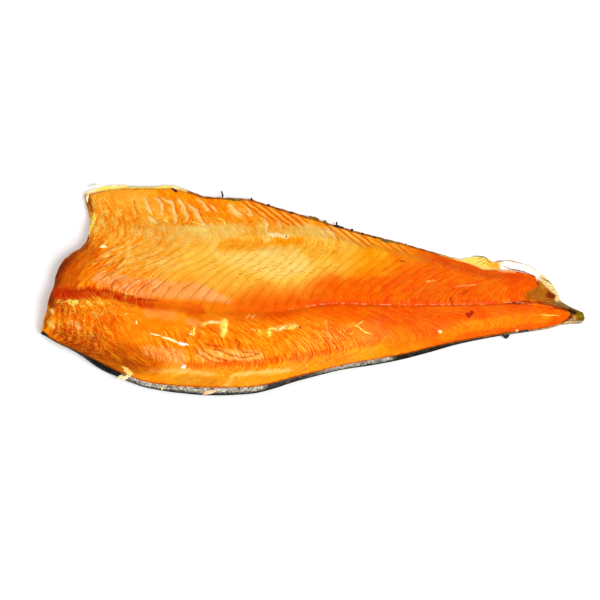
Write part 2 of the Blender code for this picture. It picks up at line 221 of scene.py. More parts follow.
# Tones of the flesh, as (colour, strength, soft edge, path). A path is drawn in pixels of the
# photograph, as (across, down, reach to either side)
TONES = [
    ("yolk", 0.55, 24, [(150, 205, 10), (230, 215, 12), (330, 240, 8), (400, 255, 6)]),
    ("apricot", 0.9, 24, [(104, 208, 12), (130, 226, 24), (160, 252, 20), (196, 262, 10)]),
    ("gold", 0.6, 12, [(140, 260, 6), (170, 262, 8)]),
    ("gold", 1.0, 30, [(190, 250, 4), (250, 258, 16), (312, 262, 14), (336, 252, 6)]),
    ("straw", 0.8, 14, [(205, 234, 1), (235, 250, 5), (275, 262, 8), (300, 262, 4)]),
    ("deep", 1.0, 46, [(345, 304, 6), (420, 300, 26), (480, 298, 50), (570, 310, 60)]),
    ("deep", 0.8, 18, [(235, 308, 2), (290, 303, 8), (350, 296, 14)]),
    ("yolk", 0.85, 6, [(222, 246, 2), (246, 245, 3), (273, 240, 2), (300, 241, 1)]),
    ("yolk", 0.5, 12, [(345, 262, 6), (385, 262, 5)]),
    ("deep", 0.4, 10, [(75, 326, 4), (112, 330, 8), (135, 330, 6)]),
    ("straw", 0.65, 5, [(200, 354, 2), (225, 356, 3), (260, 356, 2)]),
    ("peach", 0.3, 4, [(148, 312, 3), (172, 316, 3)]),
    ("peach", 0.5, 3, [(188, 321, 2), (197, 323, 2)]),
    ("ember", 0.5, 3, [(197, 328, 2), (199, 334, 2)]),
    ("peach", 0.5, 6, [(148, 352, 2), (178, 357, 4)]),
    ("pink", 0.85, 6, [(102, 280, 4), (125, 284, 5), (146, 287, 6), (200, 292, 5), (226, 299, 0.5)]),
    # Painted highlight: a pale band of straw and butter along the crest of the ridge
    ("straw", 0.5, 6, [(148, 230, 2), (180, 232, 4), (215, 231, 4), (245, 228, 3)]),
    ("straw", 0.7, 3, [(177.7, 228.8, 2.5), (240.7, 231.4, 2.5)]),
    ("butter", 0.5, 2.5, [(186, 229.5, 0.5), (195.7, 230.8, 1.5), (206, 231.2, 0.8)]),
    ("straw", 0.6, 5, [(232, 208, 2), (240, 212, 2)]),
    ("straw", 0.75, 4, [(262, 226, 2), (266, 236, 3)]),
    ("cream", 0.8, 2, [(270, 235, 0.6), (279, 234.5, 1), (287, 236, 1)]),
    ("straw", 0.7, 4, [(289, 230, 3), (303, 230, 4), (326, 236, 4)]),
    ("yolk", 0.6, 8, [(150, 372, 2), (210, 379, 4), (260, 380, 4), (300, 370, 4), (335, 360, 3),
                      (380, 350, 2)]),
    ("tan", 0.4, 5, [(180, 380, 3), (215, 383, 4)]),
    ("straw", 0.8, 2, [(232, 376, 0.6), (250.8, 373, 1), (274, 371.5, 1), (288.5, 370, 0.6)]),
    ("straw", 0.7, 1.6, [(214.6, 392, 0.5), (227, 385.6, 0.8), (232, 377.8, 0.5)]),
    ("straw", 0.6, 2.5, [(150, 371, 0.4), (185, 371, 0.8), (215, 374, 0.5)]),
    ("ember", 0.5, 3.5, [(188, 365, 1.5), (227, 363.6, 1.5), (255.5, 362.8, 1.5), (290, 358, 1.5),
                         (321.5, 352.6, 1.2), (378, 341, 0.8)]),
    ("ember", 0.35, 3, [(208, 327.3, 1), (219, 331.5, 1)]),
    ("yolk", 0.45, 6, [(440, 337, 2), (470, 328, 3), (510, 321, 3), (545, 318, 3)]),
    ("ember", 0.6, 10, [(425, 251, 1), (450, 258, 3), (480, 268, 5), (515, 276, 4)]),
    ("ember", 0.4, 10, [(418, 296, 1), (445, 293, 4), (470, 290, 4)]),
    # Smoke browning with painted shade where the flesh slopes down to the back edge at the lower left
    ("rust", 0.72, 14, [(58, 330, 2), (90, 345, 8), (125, 358, 8), (150, 366, 3)]),
    ("brown", 0.4, 8, [(66, 340, 1), (92, 352, 3), (122, 364, 3), (138, 370, 1)]),
    # Smoke browning with painted shade where the flesh rounds down at the head cut
    ("rust", 0.9, 18, [(60, 300, 6), (62, 280, 8), (72, 264, 6), (86, 250, 1)]),
    ("brown", 0.6, 5, [(51, 304, 1), (56, 285, 2), (63, 268, 1.5), (73, 257, 1)]),
    ("brown", 0.7, 3, [(44, 326, 0.5), (50, 306, 1), (58, 274, 1), (66, 261, 1), (86, 246, 0.5),
                       (90, 234, 0)]),
    # Painted shade along the left edge, beside the notch of the head cut
    ("brown", 0.7, 3, [(88, 193, 0.5), (90, 203, 1.5), (91, 210, 1)]),
    ("red", 0.8, 5.5, [(57, 294, 3), (63, 294, 3), (90, 293.6, 2.5), (104, 294.2, 2), (123, 297.6, 1.2),
                       (139, 300.4, 1), (151, 303.4, 0.6)]),
    ("ember", 0.65, 6, [(139, 298.4, 2), (151, 302.4, 3), (165, 305, 3), (185, 307.2, 3), (199, 310, 3)]),
    ("red", 0.3, 10, [(190, 308, 4), (240, 312, 6), (285, 306, 4), (320, 299, 2)]),
    ("brown", 0.55, 1, [(104, 291, 0.1), (116, 292.5, 0.3)]),
    ("brown", 0.6, 1, [(120, 293, 0.2), (133, 296.5, 0.4)]),
    ("brown", 0.6, 1, [(138, 298, 0.2), (146, 299.5, 0.5), (158, 300.5, 0.2)]),
    ("moss", 0.85, 1.5, [(545, 300.5, 1.5), (551.4, 302, 1.8), (561, 305, 1.8), (569, 307.5, 1.5)]),
    ("ember", 0.7, 3, [(300, 303, 1), (400, 303, 1.5), (480, 303, 1.2), (530, 304, 1)]),
    ("brown", 0.8, 1.4, [(508, 303.5, 0.3), (529.3, 301.7, 0.6), (543.4, 303, 0.8), (556.3, 306.8, 0.8),
                         (574.3, 312, 0.6)]),
    ("yolk", 0.3, 4, [(66, 304, 2), (80, 305, 3), (104, 304, 2)]),
    ("butter", 0.6, 1.5, [(69.5, 301.5, 1), (73.5, 303, 1.8), (77.5, 301.5, 1)]),
    ("butter", 0.6, 1.4, [(87.5, 302, 1), (91, 304.5, 1)]),
    ("butter", 0.6, 1.4, [(98.5, 302, 0.8), (102.5, 303, 0.9)]),
    ("butter", 0.7, 1.5, [(224, 322, 3), (223.8, 330, 2.8), (222.4, 336, 1.6)]),
    ("straw", 0.7, 1.6, [(203.6, 323.6, 1), (210, 321.6, 1.2), (219, 322.5, 1)]),
    ("yolk", 0.8, 1.4, [(193.6, 327, 1), (193.8, 335.5, 1.2)]),
    ("yolk", 0.8, 1.2, [(258.8, 328.5, 0.5), (260, 335.5, 0.8)]),
    ("yolk", 0.8, 1.6, [(269.5, 328.5, 1.6), (269.5, 336, 2)]),
    ("straw", 0.65, 1.8, [(273, 330, 1.4), (284, 327, 1.6), (296, 326, 1.4)]),
    ("straw", 0.45, 1.2, [(247, 318.5, 0.4), (249, 314.5, 0.3)]),
    ("straw", 0.45, 1.2, [(252, 318, 0.4), (255, 314.5, 0.3)]),
    ("straw", 0.7, 1.6, [(93, 313, 0.8), (97, 316, 0.8)]),
    ("straw", 0.7, 1.4, [(50.2, 309.6, 0.6), (53, 312.4, 0.6)]),
    ("straw", 0.6, 2, [(48.5, 322.5, 1), (52.5, 327, 1)]),
    ("peach", 0.85, 2, [(73.5, 321, 0.8), (79, 327, 1.4)]),
    ("straw", 0.35, 2, [(325, 321, 0.4), (328, 331, 0.5), (331, 340, 0.4)]),
    ("yolk", 0.9, 2, [(348.5, 326, 1.2), (353.5, 325.5, 1.4)]),
    ("straw", 0.6, 1, [(427, 281, 0.4), (430, 281, 0.4)]),
    ("straw", 0.6, 1, [(433.5, 281, 0.4), (435, 281, 0.4)]),
    ("peach", 0.45, 0.9, [(455, 286.1, 0.2), (475.3, 284.5, 0.3)]),
    ("peach", 0.9, 2, [(497, 268, 1.2), (505, 269.8, 1.8), (514, 272, 0.6)]),
    ("brown", 0.8, 1.2, [(502.3, 265.4, 0.3), (507, 268.3, 0.5), (514.8, 270, 0.5), (522.5, 271.6, 0.5),
                         (530.2, 274.5, 0.5), (535.5, 276, 0.4)]),
    ("tan", 0.95, 5, [(530, 296, 1), (540, 293, 5), (548.5, 292, 7)]),
    FIN_SPOT,
    ("blood", 0.9, 1, [(401.6, 261.2, 0.5), (404, 261.5, 0.5)]),
    ("blood", 0.7, 1.4, [(451, 298.5, 0.7), (452.5, 303, 0.5)]),
    ("blood", 0.35, 2.5, [(465.5, 291, 1), (464.5, 293, 1)]),
    ("blood", 1.0, 1.2, [(467.5, 314.5, 1.2), (468.5, 317, 0.8)]),
    ("blood", 1.0, 1.2, [(471.4, 312.6, 1.1), (469, 316, 1)]),
]

# Pale ribs of fat on the belly flap, as paths like those of TONES
RIBS = [
    [(145, 198, 0.3), (150, 211.5, 0.7)],
    [(157, 198, 0.4), (162.3, 204.4, 0.8), (162.3, 213.4, 0.5)],
    [(163.5, 199.3, 0.3), (172.5, 203, 0.6), (175.8, 217.3, 0.6), (175, 222.4, 0.3)],
    [(179, 200.6, 0.4), (184, 207.6, 1.1), (188, 216.6, 0.9), (187.3, 219.8, 0.3)],
    [(189.3, 205.7, 0.3), (195.7, 210.2, 1.1), (199.5, 218.6, 0.8), (204.7, 224.3, 0.4)],
    [(199.5, 200, 0.3), (203.4, 204.4, 0.6), (208.5, 210.8, 0.3)],
    [(212, 205, 0.2), (216, 211, 0.5)],
    [(149.4, 217.3, 0.3), (157, 222.4, 0.4)],
    [(230, 205, 0.3), (235, 209, 0.6), (241, 215, 0.3)],
    [(246, 208, 0.2), (252, 215, 0.5)],
    [(265, 219, 0.2), (267, 225, 0.5), (266, 232, 0.5)],
    [(278, 223, 0.2), (281, 229, 0.4)],
    [(320, 230, 0.2), (327, 238, 0.5)],
    [(328, 229, 0.3), (333, 235, 0.5), (337, 240, 0.3)],
]

# Pale folds of the upper flesh by the cut
FOLDS = [
    [(104, 279, 0.5), (122, 263.5, 0.8), (129, 252, 0.8), (127.6, 235, 0.5)],
    [(99, 270, 0.5), (117, 257, 0.8), (122.4, 247, 0.5)],
    [(93, 263.5, 0.5), (105.7, 256, 0.8), (113.4, 249.4, 0.5)],
    [(113.4, 276.4, 0.5), (129, 265, 0.8), (134, 254.5, 0.5)],
]

# Thin dark creases, between the folds and in the swirls of the lower half
CREASES = [
    [(94, 262, 0.3), (112, 256, 0.3)],
    [(99, 268.7, 0.3), (114.7, 261, 0.3)],
    [(114.7, 268.7, 0.3), (123.7, 257, 0.3)],
    [(133.4, 200.6, 0.3), (136.6, 213.4, 0.3)],
    [(235, 338.5, 0.4), (239.7, 343, 0.5), (238, 348, 0.5), (246, 352.6, 0.5), (258.6, 353.4, 0.3)],
    [(203.6, 343.2, 0.3), (211, 345.5, 0.4), (221, 346.3, 0.4), (224, 349.5, 0.3), (213, 349.5, 0.3)],
    [(192.6, 348, 0.3), (200.4, 354, 0.4), (208.3, 360.5, 0.4), (217.7, 362.8, 0.3)],
    [(200.4, 346.3, 0.3), (205, 351, 0.4), (213, 357.3, 0.4), (227, 360.5, 0.3)],
    [(216, 348, 0.3), (227, 354, 0.4), (239.7, 357.3, 0.4), (255.5, 355.8, 0.3)],
]

# Tones of these lines, as (colour, strength, soft edge). A rib has a pale band before it and a narrow
# shade behind it, each some pixels aside
BAND_TONE = ("straw", 0.6, 2.5)
BAND_ASIDE = -1.2
SHADE_TONE = ("ember", 0.4, 1.4)
SHADE_ASIDE = 2.2
SHADE_WIDTH = 0.5
CREST_TONE = ("cream", 0.45, 0.9)
FOLD_TONE = ("straw", 0.55, 1.8)
CREASE_TONE = ("rust", 0.75, 1.1)

# Raised and sunken strokes of the flesh, as (height in millimetres, soft edge, path)
STROKES = [
    (-1.0, 5, [(156, 214, 1), (158, 220, 2)]),
    (-0.8, 5, [(170, 219, 1), (180, 224, 2)]),
    (0.8, 6, [(262, 226, 1), (266, 236, 2)]),
    (0.7, 5, [(289, 231, 2), (326, 237, 3)]),
    (-0.9, 6, [(228, 243, 1), (262, 243, 3), (300, 243, 3), (335, 248, 2)]),
    (0.8, 5, [(190, 338, 2), (200, 350, 3), (208, 358, 1)]),
]
RIB_HEIGHT = 0.6
FOLD_HEIGHT = 0.5
CREASE_HEIGHT = -0.6
LINE_EDGE = 2

# Where fine markings of the flesh lie, as (strength, soft edge, path)
MARKINGS = {
    "dark_lines": [
        (1.0, 5, [(108, 281, 5), (146, 286, 6), (206, 292, 7)]),
        (0.8, 4, [(206, 303, 5), (231, 306, 5)]),
        (0.2, 16, [(150, 245, 10), (205, 248, 8)]),
        (0.5, 14, [(190, 345, 6), (265, 350, 8)]),
        (0.2, 30, [(90, 330, 12), (160, 350, 10)]),
        (0.1, 40, [(260, 262, 20), (420, 275, 10)]),
    ],
    "pale_lines": [
        (0.8, 8, [(303, 343, 6), (340, 338, 8), (378, 330, 8)]),
        (0.6, 14, [(300, 366, 6), (360, 352, 6)]),
        (0.5, 12, [(170, 374, 4), (260, 376, 5)]),
        (0.15, 30, [(400, 270, 10), (480, 280, 14)]),
        (0.15, 24, [(400, 325, 12), (520, 316, 8)]),
        (0.4, 12, [(205, 268, 4), (240, 290, 10)]),
    ],
    "cells": [
        (1.0, 8, [(144, 230, 6), (160, 238, 8), (192, 240, 8)]),
        (1.0, 8, [(139, 260, 8), (172, 262, 9)]),
        (0.5, 12, [(205, 262, 8)]),
    ],
    "ripples": [
        (1.0, 22, [(225, 262, 8), (290, 268, 12), (330, 272, 6)]),
        (0.5, 20, [(330, 268, 8), (380, 275, 8)]),
    ],
    "veins": [
        (1.0, 30, [(90, 215, 10), (140, 250, 20), (80, 330, 20)]),
        (0.9, 20, [(160, 345, 8), (280, 345, 16), (340, 345, 8)]),
        (0.7, 20, [(160, 210, 10), (330, 240, 8)]),
        (0.35, 60, [(420, 290, 30), (520, 300, 20)]),
    ],
    # Painted glints: small bright yellow flecks in place of oily highlights
    "flecks": [
        (1.0, 8, [(62, 305, 3), (100, 308, 5), (128, 312, 2)]),
        (0.6, 8, [(60, 325, 2), (90, 332, 5)]),
        (0.6, 8, [(160, 222, 3), (215, 224, 3)]),
        (0.5, 10, [(225, 208, 3), (262, 222, 4), (330, 236, 3)]),
        (0.5, 10, [(305, 326, 5), (345, 340, 10), (375, 345, 6)]),
        (0.4, 8, [(165, 372, 3), (260, 380, 4), (320, 364, 3)]),
        (0.3, 40, [(110, 220, 20), (180, 250, 20)]),
    ],
    "fibres": [
        (1.0, 12, [(56, 334, 3), (92, 348, 9), (142, 364, 6)]),
        (0.5, 10, [(52, 318, 5), (110, 325, 8)]),
    ],
    "fan": [
        (1.0, 6, [(246, 203, 1), (262, 209, 4), (285, 217, 5), (302, 222, 2)]),
        (1.0, 5, [(328, 226, 1), (345, 231, 4), (362, 240, 4), (372, 243, 1)]),
        (0.6, 4, [(372, 241, 1), (405, 250, 1.5)]),
    ],
    "fin": [
        (1.0, 4, [(527, 296, 1), (542, 294, 6), (556, 294, 8)]),
    ],
}

# Form of the markings, in pixels, radians and shares of a cell. The drift is (reach, size of lumps, seed)
CELL_PITCH = 11.0
CELL_LEAN = 0.75
CELL_ROW = 17.0
CELL_SLANT = 0.3
CELL_STAGGER = 0.5
CELL_EDGE = (0.44, 0.26)
CELL_DRIFT = ((0.3, 9.0, 21), (0.25, 9.0, 22))
HATCH_SLANT = 0.22
HATCH_PITCH = 2.6
RIPPLE_SLANT = 0.3
RIPPLE_PITCH = 3.4
FIBRE_ANGLE = math.radians(32)
FIBRE_PITCH = 1.8
FIBRE_LENGTH = 14.0
FAN_ANGLE = math.radians(38)
FAN_PITCH = 4.7
FIN_ROOT = (514, 297)
FIN_RAYS = 13.0

# The thread in the seam, in millimetres: its reach, and the X between which it begins and ends
THREAD_REACH = 0.35
THREAD_BEGINS = (-35, 0)
THREAD_ENDS = (222, 214)

# How fine marks colour the flesh, as (mark, strength, colour), laid one over another, and how high they
# stand in the bump
# The flecks mark lays painted glints, raised a little in the bump, in place of oily highlights
MARK_COLOURS = (
    ("blocks", 0.3, "straw"), ("cell_gaps", 0.3, "orange"), ("dark", 0.7, "line"), ("pale", 0.4, "straw"),
    ("shade", 0.5, "line"), ("hatch", 0.35, "line"), ("ripple", 0.5, "line"), ("veins", 0.5, "line"),
    ("flecks", 0.7, "butter"), ("dark_strands", 0.5, "brown"), ("pale_strands", 0.5, "yolk"),
    ("ribs", 0.8, "ember"), ("rib_gaps", 0.6, "straw"), ("rays", 0.8, "brown"), ("thread", 0.6, "pale"),
)
MARK_HEIGHTS = (
    ("dark", -0.5), ("pale", 0.2), ("ripple", -0.25), ("ribs", -0.6), ("veins", -0.15), ("flecks", 0.3),
    ("dark_strands", -0.5), ("pale_strands", 0.3),
)

# Noise of the finishes, as (scale in lumps a metre, detail, roughness)
WOBBLE = (110.0, 3.0, 0.5)
SHIVER = (380.0, 2.0, 0.5)
BREAKS = (95.0, 2.0, 0.5)
RIPPLE_BREAKS = (150.0, 2.0, 0.5)
THREAD_BREAKS = (260.0, 1.0, 0.5)
GLINT_SPOTS = (330.0, 3.0, 0.6)
GRIT = (520.0, 3.0, 0.5)
SKIN_SPECKS = (420.0, 2.0, 0.6)
SKIN_PATCHES = (120.0, 4.0, 0.65)

# Patches of smoke on the flesh, as (lumps a metre, least strength, how much stronger where veins lie)
SMOKE_PATCHES = ((42.0, 0.2, 0.0), (190.0, 0.08, 0.14), (480.0, 0.06, 0.2))
SKIN_SCALES_A_METRE = 300.0

# How far the wobble and the shiver bend the flake lines, in flakes, and how far the wobble bends hatching,
# ripples, fan and fin rays, in lines
FLAKE_WOBBLE, FLAKE_SHIVER = 0.34, 0.12
HATCH_WOBBLE, RIPPLE_WOBBLE, FAN_WOBBLE, RAY_WOBBLE = 2.0, 3.4, 0.5, 3.0

# How far from its middle a line has faded out, as a share of the distance between two lines
DARK_LINE, PALE_LINE, HATCH_LINE, RIPPLE_LINE = 0.1, 0.3, 0.3, 0.2
FAN_LINE, FAN_GAP, FIN_LINE = 0.34, 0.2, 0.4
PALE_LINES_IN_FLAKE = 4.0
HATCH_IN_BLOCKS, HATCH_IN_CELLS = 0.7, 0.3

# Noise at which a mark is off and on, then its strengths there where they aren't 0 and 1
BREAK_RANGE = (0.36, 0.6, 0.25, 1.0)
RIPPLE_RANGE = (0.42, 0.58)
THREAD_RANGE = (0.46, 0.6)
GLINT_RANGE = (0.56, 0.66)
VEIN_RANGE = (0.0, 0.028, 1.0, 0.0)
DARK_STRAND_RANGE = (0.5, 0.36)
PALE_STRAND_RANGE = (0.56, 0.68)
SCALE_RANGE = (0.0, 0.16, 1.0, 0.0)
SILVER_PATCH_RANGE = (0.3, 0.46)
SILVER_SPECK_RANGE = (0.4, 0.52, 0.25, 1.0)
FILM_RANGE = (0.35, 0.65)

# Noise drawn out along the flakes, as (lumps in a flake, lumps in a metre across, detail, roughness), and
# noise of the strands, as (scale, detail, roughness)
STREAKS = (6.0, 80.0, 5.0, 0.65)
VEIN_WEB = (3.0, 130.0, 3.0, 0.6)
STRANDS = (1.0, 3.0, 0.6)

# Depth of tone by the streaks, from deepest to palest, as (change where veins lie, depth elsewhere)
STREAK_RANGE = (0.3, 0.7)
DEEPEST = (0.7, 1.08)
PALEST = (-0.42, 0.95)

# Heights in the bump
STREAK_HEIGHT, GRIT_HEIGHT = 0.35, 0.4
SCALE_HEIGHT, SPECK_HEIGHT = -0.6, 0.5

# Detail and roughness of the noise of smoke tone, oily film and lumps, and the smoke tone's depth
SMOKE_NOISE = (4.0, 0.6)
SMOKE_DEPTH = 4.0
FILM_NOISE = (3.0, 0.6)
LUMP_NOISE = (3.0, 0.6)
LUMP_GRAIN = 3

# Finish of flesh and skin: gloss, oily film as (patches a metre, slickest, dullest), bump in millimetres
FLESH_GLOSS, FLESH_FILM, FLESH_BUMP = 0.025, (90.0, 0.28, 0.55), 0.8
SKIN_GLOSS, SKIN_FILM, SKIN_BUMP = 0.03, (150.0, 0.4, 0.65), 0.4

# Smoke tone of the skin, as (patches a metre, strength), and strengths of the shade of scales and rays
SKIN_SMOKE = (180.0, 0.3)
SCALE_SHADE, RAY_SHADE = 0.5, 0.4

# Finish of lumps, as (gloss, patches a metre, bump in millimetres), with their film and smoke tone
CURD_FINISH = (0.2, 160.0, 0.3)
SCRAP_FINISH = (0.3, 200.0, 0.3)
LUMP_FILM = (0.3, 0.6)
LUMP_SMOKE = 0.35

# Tones of the skin's upper face, which shows as the lip and the tail, in the same form as TONES
SKIN_TONES = [
    ("cream", 1.0, 6, [(84, 194, 8), (176, 190, 8)]),
    ("orange", 0.9, 1.6, [(84, 200, 4), (100, 194.5, 2), (120, 192.5, 1.5), (150, 192, 1), (172, 193, 1)]),
    ("butter", 0.9, 5, [(100, 190, 1), (170, 190, 1)]),
    ("straw", 1.0, 8, [(448, 250, 4), (490, 262, 8)]),
    ("butter", 0.5, 4, [(466, 259, 2), (484, 262, 3)]),
    ("yolk", 0.85, 3, [(490, 264, 2), (500, 263.5, 2)]),
    ("white", 1.0, 3, [(507, 265, 6), (534, 271, 8)]),
    ("tan", 1.0, 3, [(536, 291, 7), (546, 293, 8)]),
    ("straw", 0.9, 2.5, TAIL_EDGE),
    ("cream", 0.55, 2.5, TAIL_EDGE),
    FIN_SPOT,
    ("moss", 0.9, 4, [(546, 304, 1), (560, 306, 3), (574, 310, 2)]),
    ("skin_dark", 0.9, 1.5, [(540, 303.5, 0.5), (560, 308, 0.8), (575, 312.5, 0.8), (583, 314, 0.8)]),
    ("straw", 0.6, 3, [(562, 319, 2), (566, 320, 2)]),
    ("tan", 0.8, 3, [(568, 318, 2), (577, 318, 2)]),
    ("brown", 0.6, 2, [(568.5, 317, 1), (572.5, 317.5, 1)]),
    ("pink_grey", 0.8, 1.5, [(569, 319.8, 0.8), (571, 319.8, 0.8)]),
    ("cream", 0.5, 1, [(573.6, 316.5, 0.1), (574.6, 319.4, 0.1)]),
    ("olive", 1.0, 3, [(580, 311, 2), (582, 322, 3)]),
]

# Lumps that lie on the side, as (colour, height in millimetres, path like those of TONES)
CURD = [
    ("cream", 0.8, [(148.5, 333.3, 0.4), (154, 334.3, 0.8), (159.5, 335.5, 0.7)]),
    ("cream", 0.8, [(160.5, 336.5, 0.6), (166, 338, 1.2), (172.8, 340.4, 1.1), (178, 342.5, 0.9)]),
    ("white", 0.9, [(177.5, 343, 0.7), (182, 344, 1.4), (188.5, 344.6, 0.6)]),
    ("white", 1.0, [(180.5, 368, 1), (183.5, 366.6, 1.7), (186.5, 365.2, 0.8)]),
    ("cream", 0.7, [(136, 320, 0.6), (136.8, 324.5, 1)]),
    ("butter", 0.6, [(194.2, 326, 0.6), (194, 331, 1), (192.8, 335.5, 1.2)]),
    ("cream", 0.4, [(189, 332.5, 0.7), (191.5, 335, 1)]),
    ("butter", 0.5, [(205, 321.3, 0.6), (204.8, 325.6, 0.9)]),
    ("cream", 0.5, [(207.6, 322.6, 0.8), (211, 322, 1), (214.2, 322.4, 0.6), (220, 322.3, 0.4)]),
    ("butter", 0.9, [(224, 321.5, 2.4), (224.3, 325, 3), (223.8, 330, 2.6), (222.4, 337, 1.5)]),
    ("straw", 0.3, [(249.4, 330.5, 0.3), (252, 328.6, 0.4), (254.5, 330.6, 0.4), (256.3, 328.6, 0.3)]),
    ("butter", 0.4, [(257.6, 328.1, 0.4), (259.6, 335.9, 0.4)]),
    ("butter", 0.4, [(259.8, 328.5, 0.4), (261.8, 335.5, 0.4)]),
    ("butter", 0.6, [(269, 329, 1.2), (269.5, 333, 1.7), (268.8, 336.5, 1.2)]),
    ("butter", 0.5, [(267.4, 328.6, 0.6), (273, 328.8, 0.8), (277.7, 329.6, 0.5)]),
    ("cream", 0.5, [(278.5, 329.5, 0.7), (281.5, 328.5, 1.1), (285, 326.5, 0.8)]),
    ("butter", 0.5, [(287.5, 330, 0.5), (290, 327.5, 0.8), (292.5, 325, 0.5)]),
    ("butter", 0.5, [(291, 329.5, 0.5), (294, 327, 0.8), (296.5, 324.2, 0.5)]),
    ("butter", 0.6, [(353.5, 325, 0.5), (358, 326.5, 0.7), (362, 330, 0.6), (368, 333, 0.7),
                     (373, 333.6, 0.3)]),
    ("butter", 0.5, [(356.5, 325, 0.4), (360, 323.2, 0.5), (364, 320.4, 0.3)]),
    ("cream", 0.7, [(438.3, 331.5, 1.2), (442.2, 331.5, 1.2)]),
    # Painted glint: a small cream lump in place of a highlight
    ("cream", 0.7, [(99.5, 247, 0.9), (103.5, 246.3, 1.2), (107, 247, 0.8)]),
    ("butter", 0.4, [(162.3, 218.6, 0.5), (168.7, 222.4, 0.6)]),
    ("butter", 0.25, [(189, 221, 0.3), (203.4, 225, 0.4)]),
    ("butter", 0.25, [(215, 218.6, 0.3), (219.7, 219, 0.4), (224.6, 222.4, 0.4), (224, 227.6, 0.3)]),
    ("butter", 1.0, [(94.5, 213, 1.2), (94, 218, 1.9), (92, 224, 1.4), (90.5, 229, 0.9), (89, 237, 0.4)]),
    ("cream", 0.9, [(89, 193, 0.8), (87, 198, 1.1), (87.5, 203, 0.5)]),
    ("white", 0.9, [(88, 187, 1), (97, 186, 1.3), (106, 185.5, 0.8)]),
    ("brown", 0.6, [(299.6, 327.4, 0.8), (301, 326.8, 0.8)]),
    ("brown", 0.6, [(285.5, 236.8, 0.8), (287, 236.4, 0.8)]),
]

# Where loose crumbs of curd lie, as (colour, height in millimetres, how many, path)
CRUMBS = [
    ("butter", 0.5, 14, [(224, 322, 3.8), (223.8, 330, 3.4), (222.4, 336.5, 2.4)]),
    ("straw", 0.4, 10, [(204, 324, 1.8), (211, 322.2, 1.8), (220, 322.4, 1)]),
    ("straw", 0.4, 10, [(193.6, 327, 1.6), (192.5, 335, 2.6)]),
    ("straw", 0.4, 10, [(269.5, 329, 2.6), (269.5, 336, 2.6)]),
    ("straw", 0.4, 12, [(279, 329, 2), (285, 327, 2.4), (296, 326, 2)]),
    ("cream", 0.4, 20, [(150, 334, 1), (166, 338.4, 1.8), (179.4, 343.2, 2.4), (188, 344.4, 1.2)]),
    ("butter", 0.3, 12, [(68.5, 302, 2), (73.5, 303.5, 2.8), (79, 302, 2)]),
    ("butter", 0.3, 6, [(87, 302, 1.8), (92, 304.5, 1.6)]),
    ("cream", 0.4, 6, [(438.5, 331.5, 1.4), (442, 331.5, 1.4)]),
]

